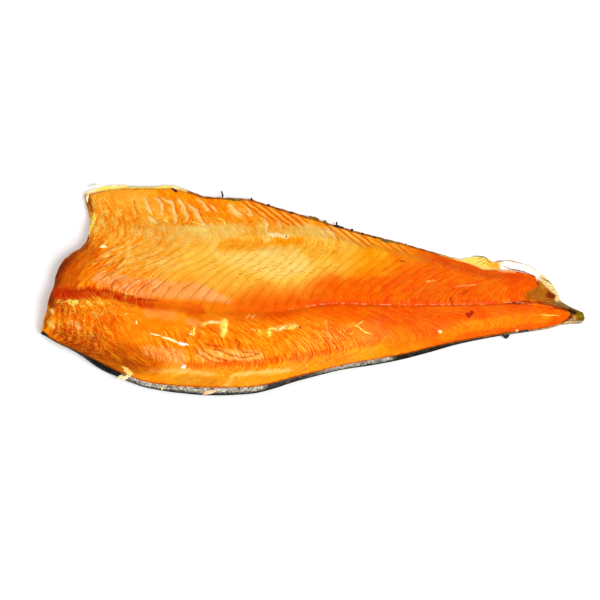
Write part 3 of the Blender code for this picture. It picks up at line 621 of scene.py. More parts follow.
# Scraps of skin and fat at the edges and thin strands at the tail, in the same form as CURD
TRIMMINGS = [
    ("straw", 1.3, [(121.5, 366, 0.8), (126, 369.5, 2), (130, 373, 2.2), (134, 374, 0.8)]),
    ("cream", 1.2, [(115.5, 379, 0.9), (120, 377.5, 1.8), (126, 377, 1.9), (131.5, 374.5, 1)]),
    ("skin_dark", 1.2, [(41.5, 331, 1.4), (44, 333.5, 1.6), (48, 336, 0.8)]),
    ("moss", 0.4, [(473.3, 256.2, 0.3), (479.1, 256.5, 0.4), (483.9, 256.7, 0.4), (486.8, 259.1, 0.4),
                   (488.8, 261.5, 0.4), (493.6, 262.5, 0.3)]),
    ("tan", 0.4, [(477.2, 260, 0.3), (479.1, 258.6, 0.3), (483, 257.6, 0.3)]),
    ("tan", 0.4, [(475.7, 263.9, 0.3), (479.1, 262, 0.3), (483.9, 260, 0.3), (486.3, 259, 0.2)]),
    ("tan", 0.4, [(480.6, 265.4, 0.3), (483.9, 263.4, 0.3), (486.8, 262, 0.2)]),
    ("moss", 0.4, [(495.5, 262.3, 0.3), (504.2, 260.5, 0.5)]),
    ("tan", 0.3, [(504.2, 260.5, 0.3), (510.9, 261, 0.3), (517.7, 262.5, 0.3), (524.4, 263.9, 0.3)]),
    ("pale", 0.3, [(524.4, 263.9, 0.3), (530.2, 266.3, 0.3), (535, 269.2, 0.3), (537.4, 272.1, 0.2)]),
    ("brown", 0.4, [(501.3, 264.9, 0.2), (505.1, 266.8, 0.4), (509, 268.7, 0.4), (517.7, 270.2, 0.5),
                    (526.4, 272.6, 0.4), (535.5, 276.4, 0.3)]),
    ("moss", 0.4, [(540.3, 276, 0.3), (544.7, 279.8, 0.4), (549.5, 281.8, 0.4), (552.4, 285.1, 0.3)]),
    ("butter", 0.4, [(538.9, 314.3, 0.3), (548, 315.2, 0.4), (554.3, 315.2, 0.3), (560.6, 316.5, 0.2)]),
    ("pale", 1.0, [(202, 394.5, 0.7), (207, 392.5, 1.6), (212, 391.5, 1.7), (217, 390.5, 0.7)]),
    ("butter", 0.8, [(161, 387, 0.8), (163, 389.5, 0.9)]),
    ("skin_dark", 1.4, [(502, 334.5, 1), (506, 336, 2), (510, 334.5, 1.2)]),
    ("olive", 1.2, [(505, 333.5, 1), (512, 333, 1.3)]),
    ("cream", 1.0, [(515.5, 331.5, 0.8), (518, 329.5, 1)]),
    ("skin_dark", 1.0, [(518, 332, 0.9), (524, 331, 1.2), (529, 330, 0.7)]),
    ("skin_dark", 0.8, [(171, 188, 0.7), (174.5, 190, 1), (178, 192.5, 0.6)]),
    ("olive", 0.9, [(226.5, 199.5, 0.7), (234, 199.5, 1.2), (244, 200.8, 0.8)]),
    ("skin_dark", 1.0, [(267, 204.8, 0.9), (270, 205.5, 1.3)]),
    ("skin_dark", 0.8, [(276, 208.3, 0.8), (280, 209.3, 0.9)]),
    ("skin_dark", 0.8, [(289, 212, 0.8), (293.5, 213.4, 1.1)]),
    ("olive", 1.0, [(308, 216.5, 0.8), (314, 217.8, 1.2), (320, 220, 1)]),
    ("olive", 1.4, [(323, 221.5, 1.8), (327.5, 222.5, 2)]),
    ("skin_dark", 0.9, [(333, 225, 0.9), (345, 228.3, 0.9)]),
    ("skin_dark", 1.0, [(350.5, 229.6, 1), (353.5, 230.2, 1.4)]),
    ("skin_dark", 0.8, [(361, 233, 0.8), (364.5, 234.3, 1)]),
    ("skin_dark", 0.8, [(372.5, 236.6, 0.9), (376, 238, 0.9)]),
    ("olive", 1.0, [(380, 239.8, 0.9), (388, 241.5, 1.2), (394, 242.5, 1)]),
    ("olive", 1.1, [(397.5, 243, 1.2), (399.5, 243.6, 1.4)]),
    ("olive", 1.1, [(404.8, 244.6, 1.2), (407, 245.4, 1.4)]),
]

# Spikes that stand out at the belly edge, as (colour, path)
SPIKES = [
    ("skin_dark", [(222.6, 198, 0.9), (222.2, 194, 0.8), (221.2, 190.2, 0.7)]),
    ("skin_dark", [(252, 201.5, 0.9), (251.4, 197.4, 0.9)]),
    ("skin_dark", [(336.8, 226, 0.8), (336.6, 221.2, 0.8)]),
]

# Form of a lump: its sides, its rings and the pixels between them, the steps in which its path is read,
# how blunt its ends are, its width as a share of the reach, and how deep it sinks in, in millimetres
LUMP_SIDES = 10
LEAST_RINGS = 6
MOST_RINGS = 40
RING_SPACING = 1.2
PATH_STEPS = 64
BLUNTNESS = 0.4
LUMP_WIDTH = 1.15
LUMP_DEPTH = 0.5

# How much raggedness sways a lump's width, line, height and tone, and how fast it changes along the lump
WIDTH_SWAY = 1.8
LINE_SWAY = 0.3
HEIGHT_SWAY = 0.6
TONE_SWAY = 0.5
WOBBLE_RATE = 0.6
WOBBLE_SIDE_RATE = 1.5
BULGE_RATE = 0.35
BULGE_START = 7.0

# Least lengths, so that nothing is divided by zero
LEAST_HEADING = 1e-6
LEAST_RING = 1e-4

# Crumbs: their least and greatest size in pixels, and their width as a share of it
CRUMB_SIZES = (0.4, 1.0)
CRUMB_WIDTH = 0.8

# Studio, in metres and watts. A light is (name, place, size, power)
FLOOR_SIZE = 6.0
FLOOR_LEVEL = -0.0001
FLOOR_WHITE = (0.95, 0.95, 0.95, 1)
FLOOR_ROUGHNESS = 0.9
FLOOR_GLOW = 0.15
SKY_WHITE = (1.0, 0.99, 0.97, 1)
SKY_STRENGTH = 0.4
LIGHTS = (("key", (1.3, -1.5, 2.3), 1.5, 84.0), ("fill", (-1.2, 0.6, 2.2), 2.0, 8.0))
CAMERA_REACH = 20.0


# Curves and small measures

def through(knots, values, place):
    """Reads, at each place, a smooth curve through the values at the knots that never overshoots them."""
    knots = np.asarray(knots, float)
    values = np.asarray(values, float).reshape(len(knots), -1)
    place = np.clip(np.asarray(place, float), knots[0], knots[-1])
    rises = np.diff(values, axis=0) / np.diff(knots)[:, None]
    turning = rises[:-1] * rises[1:] <= 0
    sums = np.where(turning, 1.0, rises[:-1] + rises[1:])
    inner = np.where(turning, 0.0, 2 * rises[:-1] * rises[1:] / sums)
    slopes = np.concatenate((rises[:1], inner, rises[-1:]))
    k = np.clip(np.searchsorted(knots, place, side="right") - 1, 0, len(knots) - 2)
    column = np.arange(values.shape[1]) if values.shape[1] > 1 else 0
    width = knots[k + 1] - knots[k]
    t = (place - knots[k]) / width
    start = (1 + 2 * t) * (1 - t) ** 2 * values[k, column] + t * (1 - t) ** 2 * width * slopes[k, column]
    end = t * t * (3 - 2 * t) * values[k + 1, column] + t * t * (t - 1) * width * slopes[k + 1, column]
    return start + end


def curve(points, place):
    """Reads a curve that is given as a list of (place, value) points."""
    knots, values = zip(*points)
    return through(knots, values, place)


def mix(start, end, share):
    """The start at a share of 0, the end at 1."""
    return start + (end - start) * share


def soft_step(value):
    """0 up to 0 and 1 from 1, smooth between."""
    value = np.clip(value, 0, 1)
    return value * value * (3 - 2 * value)


def rise(value, start, end):
    """0 before start, 1 after end, smooth between; falls instead where end is below start."""
    return soft_step((value - start) / (end - start))


def width_at(x):
    return curve(BELLY_EDGE, x) - curve(BACK_EDGE, x)


def share_at(x, y):
    """Share of the width, from the back edge, at a place."""
    return (y - curve(BACK_EDGE, x)) / width_at(x)


def points_at(x, share, z):
    """Points at given X, shares of the width and heights."""
    return np.stack((x, curve(BACK_EDGE, x) + share * width_at(x), z), axis=1)


def flat_points(across, down):
    """Pixels as points of a plane, for reading unevenness."""
    return np.stack((across, down, 0 * across), axis=-1)


def unevenness(points, size, seed):
    """Smooth noise from about -1 to 1 at each point, with lumps of the given size."""
    shift = Vector([seed * step for step in SEED_SHIFT])
    flat = np.asarray(points, float).reshape(-1, 3) / size
    values = [noise.noise(Vector(point) + shift) for point in flat]
    return np.array(values).reshape(np.shape(points)[:-1])


# The photograph's view

def in_picture(points):
    """Where points of the outline's lists, in millimetres, appear in the picture: pixels across and down."""
    offset = points - MIDDLE - VIEW_TARGET
    scale = FOCAL / (VIEW_DISTANCE - offset @ VIEW_BACK)
    return PICTURE / 2 + scale * offset[..., 0], PICTURE / 2 - scale * (offset @ VIEW_UP)


def sight_line(across, down):
    """The camera's place and the direction in which it sees a pixel of the picture, in metres."""
    eye = (VIEW_TARGET + VIEW_BACK * VIEW_DISTANCE) * MM
    right, up = (across - PICTURE / 2) / FOCAL, (PICTURE / 2 - down) / FOCAL
    return Vector(eye), Vector(np.array((right, 0, 0)) + up * VIEW_UP - VIEW_BACK).normalized()


def near_path(across, down, path, edge):
    """1 within the reach of a path, falling smoothly to 0 over the soft edge beyond it."""
    inside = np.full(np.shape(across), -np.inf)
    for (x0, y0, r0), (x1, y1, r1) in zip(path, path[1:]):
        run, drop = x1 - x0, y1 - y0
        share = ((across - x0) * run + (down - y0) * drop) / (run * run + drop * drop)
        share = np.clip(share, 0, 1)
        distance = np.hypot(across - x0 - share * run, down - y0 - share * drop)
        inside = np.maximum(inside, mix(r0, r1, share) - distance)
    return soft_step(1 + inside / edge)


def strongest(across, down, layers):
    """The strongest of several (strength, soft edge, path) layers at each pixel."""
    strengths = [strength * near_path(across, down, path, edge) for strength, edge, path in layers]
    return np.max(strengths, axis=0)


# Form of the side

def height_at(x, across, share):
    """Height of the flesh without its flakes, at a line across and its share of the width."""
    seam_depth = bpy.context.scene.salmon_sizes.seam_depth / MM
    level = mix(curve(SECTION, across), EVEN_SECTION, curve(EVENNESS, x))
    groove = seam_depth * np.exp(-((across - SEAM) / SEAM_SPREAD) ** 2)
    from_head = np.maximum(x - curve(HEAD_CUT, share), 0)
    return curve(CROWN, x) * level - groove - HEAD_ROUNDING * np.exp(-from_head / HEAD_ROUNDING_REACH)


def flake_lines():
    """Shares of the length at which the lines of the grid lie, and how many flakes lie before each."""
    count = np.arange(FLAKES * ROWS_IN_FLAKE + 1) / ROWS_IN_FLAKE
    share = count / FLAKES
    return share + FLAKE_SPREAD * share * (1 - share), count


def across_lines():
    """The lines across the grid, from the back edge at 0 to the belly edge at 1."""
    ends = [share for share, _ in STRIPS]
    lines = [mix(ends[k], ends[k + 1], step / steps) for k, (_, steps) in enumerate(STRIPS[:-1])
             for step in range(steps)]
    return np.array(lines + [1.0])


def share_across(x, across):
    """Share of the width, from the back edge, at which a line across the grid lies."""
    inner_lines = [curve(line, x) for line in (FURROW_LINE, SEAM_LINE, RIDGE_LINE)]
    lines = [np.zeros_like(x), *inner_lines, np.ones_like(x)]
    return through([0, FURROW, SEAM, RIDGE, 1], lines, np.full_like(x, across))


def settle(along, across, head_cut, tail_cut, bend=0.0):
    """Finds X and the share of the width for each place along one line across the grid."""
    x = mix(HEAD_CUT[0][1], TAIL_CUT[0][1], along)
    for _ in range(PASSES):
        share = share_across(x, across)
        x = mix(curve(head_cut, share), curve(tail_cut, share), along) + bend
    return x, share


def flake_lift(count):
    """How high a place lies on its flake: steep up from the line between flakes, then gently down."""
    part = count - np.floor(count)
    slope = np.where(part < FLAKE_CREST, part / FLAKE_CREST, (1 - part) / (1 - FLAKE_CREST))
    return soft_step(slope)


def top_column(along, count, across):
    """Points of the flesh's upper face on one line across, from head to tail."""
    flake_step = bpy.context.scene.salmon_sizes.flake_step / MM
    bend = curve(FLAKE_BEND, across) * soft_step(along / FLAKE_BEND_FADE)
    bend = bend * soft_step((1 - along) / FLAKE_BEND_FADE)
    x, share = settle(along, across, HEAD_CUT, TAIL_CUT, bend)
    step = flake_step * curve(FLAKE_DEPTH, across) * curve(FLAKE_FADE, x) * (flake_lift(count) - 0.5)
    return points_at(x, share, height_at(x, across, share) + step)


def side_section(x, belly, down, offset, lipped):
    """One point of a side's section, from the skin's edge at down 0 to the floor at down 1.

    The section is the inner face of the skin, pushed outwards by the offset. It is given as the
    distance out from the edge of the flesh and the height.
    """
    if belly:
        lip = curve(BELLY_LIP, x) + LIP_WAVE * np.sin(x / LIP_WAVE_LENGTH * 2 * np.pi) if lipped else 0 * x
        bulge = 0 * x + BELLY_BULGE
        tuck = BELLY_TUCK
        edge = height_at(x, 1, 1) - RIM_DROP
        edge = edge * (1 - LIP_DROP * soft_step(lip / LIP_DROP_REACH))
    else:
        lip = 0 * x
        bulge = curve(BACK_BULGE, x) - SKIN_THICKNESS
        edge = height_at(x, 0, 0) - RIM_DROP
        tuck = BACK_TUCK * edge / CROWN_HEIGHT + BACK_TUCK_LEAST
    corners = ((GAP + lip, edge), (WALL_OUT * bulge + LIP_HOLD * lip, WALL_LEVEL * edge + WALL_RAISE),
               (bulge - TUCK_START * tuck, 0 * x + SKIN_THICKNESS), (bulge - tuck, 0 * x + SKIN_THICKNESS))
    up = 1 - down
    weights = (up ** 3, 3 * up * up * down, 3 * up * down * down, down ** 3)
    out, high = (sum(w * corner[axis] for w, corner in zip(weights, corners)) for axis in (0, 1))
    pulls = (up * up, 2 * up * down, down * down)
    run, drop = (sum(w * (corners[k + 1][axis] - corners[k][axis]) for k, w in enumerate(pulls))
                 for axis in (0, 1))
    length = np.hypot(run, drop)
    return out - offset * drop / length, high + offset * run / length


def side_column(along, belly, down, offset, lipped, head_cut, tail_cut):
    """Points on one line down a side, from head to tail."""
    share = np.full_like(along, 1.0 if belly else 0.0)
    for _ in range(PASSES):
        x = mix(curve(head_cut, share), curve(tail_cut, share), along)
        out, high = side_section(x, belly, down, offset, lipped)
        share = 1 + out / width_at(x) if belly else -out / width_at(x)
    return points_at(x, share, high)


def floor_column(along, across, height, head_cut, tail_cut):
    """Points on one line across the flat floor, from head to tail."""
    x, share = settle(along, across, head_cut, tail_cut)
    return points_at(x, share, np.full_like(x, height))


def lower_surface(along, offset, lipped, head_cut, tail_cut):
    """The face of a piece that follows the skin: down the back side, over the floor, up the belly side."""
    cuts = (head_cut, tail_cut)
    back, belly = ([side_column(along, side, step / steps, offset, lipped, *cuts)
                    for step in range(steps + 1)]
                   for side, steps in ((False, BACK_STEPS), (True, BELLY_STEPS)))
    floor_lines = across_lines()[BACK_STEPS + 2:-BELLY_STEPS - 2]
    floor = [floor_column(along, line, SKIN_THICKNESS - offset, *cuts) for line in floor_lines]
    return np.array(back + floor + belly[::-1])


# Meshes

def layer_of_tones(mesh):
    """The mesh's layer of tones, which is made on its first use."""
    layers = mesh.verts.layers.float_color
    return layers.get("tone") or layers.new("tone")


def add_grid(mesh, columns, tone, masks, facing_down=False):
    """Adds a grid of faces with points on the given lines, and a tone and masks at each point."""
    lines, rows = columns.shape[0] - 1, columns.shape[1] - 1
    tone_layer = layer_of_tones(mesh)
    layers = mesh.verts.layers.float
    for name in masks:
        if layers.get(name) is None:
            layers.new(name)
    mask_layers = [layers[name] for name in masks]
    points = bmesh.ops.create_grid(mesh, x_segments=rows, y_segments=lines, size=0.5)["verts"]
    places = ((columns - MIDDLE) * MM).tolist()
    opaque = np.ones(columns.shape[:2] + (1,))
    tones = np.concatenate((np.broadcast_to(tone, columns.shape), opaque), axis=2).tolist()
    values = [np.broadcast_to(mask, columns.shape[:2]).tolist() for mask in masks.values()]
    table = [[None] * (lines + 1) for _ in range(rows + 1)]
    for point in points:
        row = round((point.co.x + 0.5) * rows)
        line = round((point.co.y + 0.5) * lines)
        point.co = places[line][row]
        point[tone_layer] = tones[line][row]
        for layer, value in zip(mask_layers, values):
            point[layer] = value[line][row]
        table[row][line] = point
    if facing_down:
        faces = {face for point in points for face in point.link_faces}
        bmesh.ops.reverse_faces(mesh, faces=list(faces))
    return table


def close_between(mesh, upper, lower):
    """Closes the gap between the rims of two grids of the same size with a band of faces."""
    rows, lines = len(upper) - 1, len(upper[0]) - 1
    rim = [(0, k) for k in range(lines)] + [(k, lines) for k in range(rows)]
    rim += [(rows, lines - k) for k in range(lines)] + [(rows - k, 0) for k in range(rows)]
    for (row, line), (next_row, next_line) in zip(rim, rim[1:] + rim[:1]):
        mesh.faces.new((upper[row][line], upper[next_row][next_line],
                        lower[next_row][next_line], lower[row][line]))


def finish_piece(name, mesh, material, replaced=None, floor_heights=()):
    """Turns the mesh into a piece that rides on the side with the given material, and hides the solid it
    replaces.
    """
    bmesh.ops.remove_doubles(mesh, verts=mesh.verts, dist=WELD_DISTANCE)
    for height in floor_heights:
        flat = [face for face in mesh.faces
                if all(abs(v.co.z - height * MM) < FLAT_WITHIN for v in face.verts)]
        bmesh.ops.dissolve_faces(mesh, faces=flat)
    data = bpy.data.meshes.new(name)
    mesh.to_mesh(data)
    mesh.free()
    data.shade_smooth()
    data.set_sharp_from_angle(angle=SHARP_ANGLE)
    data.materials.append(material)
    piece = bpy.data.objects.new(name, data)
    bpy.context.scene.collection.objects.link(piece)
    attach(piece, "root")
    if replaced:
        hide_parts(replaced)


def surface_tree(*names):
    """A tree for casting rays onto finished pieces."""
    mesh = bmesh.new()
    for name in names:
        mesh.from_mesh(bpy.data.objects[name].data)
    tree = BVHTree.FromBMesh(mesh)
    mesh.free()
    return tree


def find_place(tree, across, down):
    """The place and normal that show at a pixel, or the place level with the belly edge beyond it."""
    eye, look = sight_line(across, down)
    place, normal, _, _ = tree.ray_cast(eye, look)
    if place is not None:
        return place, normal
    x = across - PICTURE / 2 + VIEW_TARGET[0] + MIDDLE[0]
    level = (float(height_at(np.array(x), 1, 1)) - RIM_DROP) * MM
    return eye + look * ((level - eye.z) / look.z), Vector((0, 0, 1))


def add_lump(mesh, tree, colour, height, path, depth=LUMP_DEPTH):
    """Adds a closed lump that lies on the surface along a path in the picture."""
    ragged = bpy.context.scene.salmon_sizes.raggedness
    steps = [math.dist(a[:2], b[:2]) for a, b in zip(path, path[1:])]
    length = sum(steps)
    knots = np.concatenate(([0], np.cumsum(steps))) / length
    rings = max(LEAST_RINGS, min(MOST_RINGS, round(length / RING_SPACING)))
    tone_layer = layer_of_tones(mesh)
    made = bmesh.ops.create_uvsphere(mesh, u_segments=LUMP_SIDES, v_segments=rings, radius=1)["verts"]
    shares = np.linspace(0, 1, PATH_STEPS + 1)
    centre = np.stack([through(knots, column, shares) for column in zip(*path)], axis=1)
    tone = tones_now()[colour]
    for point in made:
        at = round(PATH_STEPS * math.acos(max(-1.0, min(1.0, -point.co.z))) / math.pi)
        heading = centre[min(PATH_STEPS, at + 1), :2] - centre[max(0, at - 1), :2]
        heading = heading / max(LEAST_HEADING, math.hypot(*heading))
        ring = max(LEAST_RING, math.hypot(point.co.x, point.co.y))
        swell = ring ** BLUNTNESS
        x, y, reach = centre[at].tolist()
        wobble_at = (x * WOBBLE_RATE, y * WOBBLE_RATE, point.co.x * WOBBLE_SIDE_RATE)
        bulge_at = (x * BULGE_RATE, y * BULGE_RATE, BULGE_START + point.co.x)
        wobble, bulge = (ragged * noise.noise(Vector(spot)) for spot in (wobble_at, bulge_at))
        side = point.co.x / ring * swell * reach * (LUMP_WIDTH + WIDTH_SWAY * wobble)
        across = x - heading[1] * side + LINE_SWAY * wobble
        down = y + heading[0] * side + LINE_SWAY * bulge
        place, normal = find_place(tree, across, down)
        lift = point.co.y / ring * swell
        lift = lift * height * (1 + HEIGHT_SWAY * bulge) if lift > 0 else lift * depth
        point.co = place + normal * lift * MM
        point[tone_layer] = (*np.clip(tone * (1 + TONE_SWAY * bulge), 0, 1), 1.0)


def crumbs(colour, height, count, path, seed):
    """Small lumps like those of CURD at uneven places within the reach of a path."""
    uneven = np.random.default_rng(seed)
    knots = np.linspace(0, 1, len(path))
    for _ in range(count):
        share = uneven.random()
        across, down, reach = (float(np.interp(share, knots, column)) for column in zip(*path))
        across += reach * uneven.uniform(-1, 1)
        down += reach * uneven.uniform(-1, 1)
        size, turn = uneven.uniform(*CRUMB_SIZES), uneven.uniform(0, math.pi)
        run, drop, width = size * math.cos(turn), size * math.sin(turn), CRUMB_WIDTH * size
        yield colour, height * size, [(across - run, down - drop, width), (across + run, down + drop, width)]


def finish_lumps(name, mesh, material):
    """Turns lumps into a piece, with their faces outwards."""
    bmesh.ops.recalc_face_normals(mesh, faces=mesh.faces)
    finish_piece(name, mesh, material)


# Materials

def linear(colour):
    """Linear colour with alpha from an sRGB colour of 0 to 255."""
    parts = [value / 255 for value in colour]
    return tuple(v / 12.92 if v <= 0.04045 else ((v + 0.055) / 1.055) ** 2.4 for v in parts) + (1.0,)


class Nodes:
    """Adds nodes to one tree. A value given to a node is a constant or another node's output."""

    def __init__(self, tree):
        self.tree = tree

    def add(self, kind, values=None, **settings):
        made = self.tree.nodes.new(kind)
        for name, value in settings.items():
            setattr(made, name, value)
        for key, value in (values or {}).items():
            socket = made.inputs[key]
            if isinstance(value, bpy.types.NodeSocket):
                self.tree.links.new(value, socket)
            else:
                socket.default_value = value
        return made

    def place(self):
        return self.add("ShaderNodeTexCoord").outputs["Object"]

    def mask(self, name):
        return self.add("ShaderNodeAttribute", attribute_name=name).outputs["Fac"]

    def tone(self):
        return self.add("ShaderNodeAttribute", attribute_name="tone").outputs["Color"]

    def math(self, operation, first, second=0.0, third=0.0):
        return self.add("ShaderNodeMath", {0: first, 1: second, 2: third}, operation=operation).outputs[0]

    def times(self, first, second):
        return self.math("MULTIPLY", first, second)

    def times_plus(self, first, second, third):
        """The first times the second, plus the third."""
        return self.math("MULTIPLY_ADD", first, second, third)

    def join(self, x, y, z=0.0):
        return self.add("ShaderNodeCombineXYZ", {"X": x, "Y": y, "Z": z}).outputs[0]

    def noise(self, vector, scale, detail=2.0, roughness=0.5):
        values = {"Vector": vector, "Scale": scale, "Detail": detail, "Roughness": roughness}
        return self.add("ShaderNodeTexNoise", values).outputs["Fac"]

    def ease(self, value, start, end, low=0.0, high=1.0):
        """Low before start and high after end, smooth between."""
        values = {"Value": value, "From Min": start, "From Max": end, "To Min": low, "To Max": high}
        return self.add("ShaderNodeMapRange", values, interpolation_type="SMOOTHSTEP").outputs["Result"]

    def blend(self, share, first, second):
        return self.add("ShaderNodeMix", {0: share, 6: first, 7: second}, data_type="RGBA").outputs[2]

    def group(self, tree, values):
        return self.add("ShaderNodeGroup", values, node_tree=tree).outputs[0]

    def stripes(self, phase, width):
        """1 on thin lines at whole numbers of the phase, and 0 beyond their width to either side."""
        part = self.math("FRACT", phase)
        nearest = self.math("MINIMUM", part, self.math("SUBTRACT", 1.0, part))
        return self.ease(nearest, 0.0, width, 1.0, 0.0)


def start_group(name, inputs, output, kind):
    """An empty node group with named sockets, its inputs and the socket of its result."""
    tree = bpy.data.node_groups.new(name, "ShaderNodeTree")
    for label, input_kind, value in inputs:
        socket = tree.interface.new_socket(label, in_out="INPUT", socket_type=input_kind)
        if value is not None:
            socket.default_value = value
    tree.interface.new_socket(output, in_out="OUTPUT", socket_type=kind)
    return Nodes(tree), tree.nodes.new("NodeGroupInput").outputs, tree.nodes.new("NodeGroupOutput").inputs[0]


def smoke_group():
    """Smoke tone: patches in which the colour that comes in grows deeper or paler."""
    found = bpy.data.node_groups.get("Smoke tone")
    if found:
        return found
    inputs = [("Colour", "NodeSocketColor", (0.8, 0.8, 0.8, 1)), ("Vector", "NodeSocketVector", None),
              ("Scale", "NodeSocketFloat", 40.0), ("Amount", "NodeSocketFloat", 0.2)]
    nodes, given, result = start_group("Smoke tone", inputs, "Colour", "NodeSocketColor")
    patches = nodes.noise(given["Vector"], given["Scale"], *SMOKE_NOISE)
    swing = nodes.times(nodes.math("SUBTRACT", patches, 0.5), given["Amount"])
    depth = nodes.times_plus(swing, SMOKE_DEPTH, 1.0)
    toned = nodes.add("ShaderNodeGamma", {"Color": given["Colour"], "Gamma": depth})
    nodes.tree.links.new(toned.outputs[0], result)
    return nodes.tree


def film_group():
    """Oily film: roughness that runs from slick to dull in small patches."""
    found = bpy.data.node_groups.get("Oily film")
    if found:
        return found
    inputs = [("Vector", "NodeSocketVector", None), ("Scale", "NodeSocketFloat", 60.0),
              ("Slick", "NodeSocketFloat", 0.3), ("Dull", "NodeSocketFloat", 0.6)]
    nodes, given, result = start_group("Oily film", inputs, "Roughness", "NodeSocketFloat")
    film = nodes.noise(given["Vector"], given["Scale"], *FILM_NOISE)
    share = nodes.ease(film, *FILM_RANGE)
    spread = nodes.math("SUBTRACT", given["Dull"], given["Slick"])
    nodes.tree.links.new(nodes.times_plus(share, spread, given["Slick"]), result)
    return nodes.tree


def smoked(nodes, colour, place, scale, amount):
    """The colour with smoke tone over it."""
    values = {"Colour": colour, "Vector": place, "Scale": scale, "Amount": amount}
    return nodes.group(smoke_group(), values)


def drawn_out(nodes, bent, in_flake, in_metre, detail, roughness):
    """Noise that is drawn out along the lines of the flakes."""
    spot = nodes.join(nodes.times(bent, in_flake), nodes.times(nodes.mask("grain"), in_metre))
    return nodes.noise(spot, 1.0, detail, roughness)


def start_material(name, specular):
    """A new material: its node builder and its Principled BSDF."""
    material = bpy.data.materials.new(name)
    material.use_nodes = True
    shader = material.node_tree.nodes["Principled BSDF"]
    shader.inputs["Specular IOR Level"].default_value = specular
    return material, Nodes(material.node_tree), shader


def finish_material(nodes, shader, colour, place, film, height, distance):
    """Wires colour, oily film and bump, in millimetres, into the shader."""
    link = nodes.tree.links.new
    link(colour, shader.inputs["Base Color"])
    scale, slick, dull = film
    values = {"Vector": place, "Scale": scale, "Slick": slick, "Dull": dull}
    link(nodes.group(film_group(), values), shader.inputs["Roughness"])
    bump = nodes.add("ShaderNodeBump", {"Height": height, "Distance": distance * MM})
    link(bump.outputs["Normal"], shader.inputs["Normal"])


def flesh_material(colours):
    """Hot smoked flesh: painted tones with flake lines, cells, ripples, a fan of ribs and a seam."""
    material, nodes, shader = start_material("smoked_flesh", FLESH_GLOSS)
    mask, stripes, ease = nodes.mask, nodes.stripes, nodes.ease
    times, times_plus = nodes.times, nodes.times_plus
    place = nodes.place()
    wobble, shiver = (nodes.math("SUBTRACT", nodes.noise(place, *grain), 0.5) for grain in (WOBBLE, SHIVER))
    bent = times_plus(shiver, FLAKE_SHIVER, times_plus(wobble, FLAKE_WOBBLE, mask("flake")))
    broken = ease(nodes.noise(place, *BREAKS), *BREAK_RANGE)
    feathery = times(mask("pale_lines"), broken)
    fine = times(bent, PALE_LINES_IN_FLAKE)
    within = times_plus(mask("blocks"), HATCH_IN_BLOCKS, times(mask("cells"), HATCH_IN_CELLS))
    hatch_phase = times_plus(wobble, HATCH_WOBBLE, mask("hatch"))
    ripple_phase = times_plus(wobble, RIPPLE_WOBBLE, mask("ripple"))
    ripple = times(stripes(ripple_phase, RIPPLE_LINE), mask("ripples"))
    fan_phase = times_plus(wobble, FAN_WOBBLE, mask("rib"))
    web = nodes.math("ABSOLUTE", nodes.math("SUBTRACT", drawn_out(nodes, bent, *VEIN_WEB), 0.5))
    strands = nodes.noise(nodes.join(mask("strand"), mask("strand_along")), *STRANDS)
    marks = {
        "blocks": mask("blocks"),
        "cell_gaps": nodes.math("SUBTRACT", mask("cells"), mask("blocks")),
        "dark": times(stripes(bent, DARK_LINE), times(mask("dark_lines"), broken)),
        "pale": times(stripes(fine, PALE_LINE), feathery),
        "shade": times(stripes(nodes.math("ADD", fine, 0.5), PALE_LINE), feathery),
        "hatch": times(stripes(hatch_phase, HATCH_LINE), within),
        "ripple": times(ripple, ease(nodes.noise(place, *RIPPLE_BREAKS), *RIPPLE_RANGE)),
        "veins": times(times(ease(web, *VEIN_RANGE), mask("veins")), broken),
        # Painted glints: bright yellow flecks in place of oily highlights
        "flecks": times(ease(nodes.noise(place, *GLINT_SPOTS), *GLINT_RANGE), mask("flecks")),
        "dark_strands": times(ease(strands, *DARK_STRAND_RANGE), mask("fibres")),
        "pale_strands": times(ease(strands, *PALE_STRAND_RANGE), mask("fibres")),
        "ribs": times(stripes(fan_phase, FAN_LINE), mask("fan")),
        "rib_gaps": times(stripes(nodes.math("ADD", fan_phase, 0.5), FAN_GAP), mask("fan")),
        "rays": times(stripes(mask("ray"), FIN_LINE), mask("fin")),
        "thread": times(mask("thread"), ease(nodes.noise(place, *THREAD_BREAKS), *THREAD_RANGE)),
    }

    streaks = drawn_out(nodes, bent, *STREAKS)
    colour = nodes.tone()
    rough = mask("veins")
    for scale, least, more in SMOKE_PATCHES:
        colour = smoked(nodes, colour, place, scale, times_plus(rough, more, least))
    deepen = ease(streaks, *STREAK_RANGE, times_plus(rough, *DEEPEST), times_plus(rough, *PALEST))
    colour = nodes.add("ShaderNodeGamma", {"Color": colour, "Gamma": deepen}).outputs[0]
    for name, strength, tone in MARK_COLOURS:
        colour = nodes.blend(times(marks[name], strength), colour, colours[tone])
    height = times_plus(streaks, STREAK_HEIGHT, times(nodes.noise(place, *GRIT), GRIT_HEIGHT))
    for name, depth in MARK_HEIGHTS:
        height = times_plus(marks[name], depth, height)
    finish_material(nodes, shader, colour, place, FLESH_FILM, height, FLESH_BUMP)
    return material


def lump_material(name, gloss, scale, distance):
    """Curd, fat or scraps: the lump's own tone, uneven, with a fine curdled grain."""
    material, nodes, shader = start_material(name, gloss)
    place = nodes.place()
    colour = smoked(nodes, nodes.tone(), place, scale, LUMP_SMOKE)
    height = nodes.noise(place, LUMP_GRAIN * scale, *LUMP_NOISE)
    finish_material(nodes, shader, colour, place, (scale, *LUMP_FILM), height, distance)
    return material


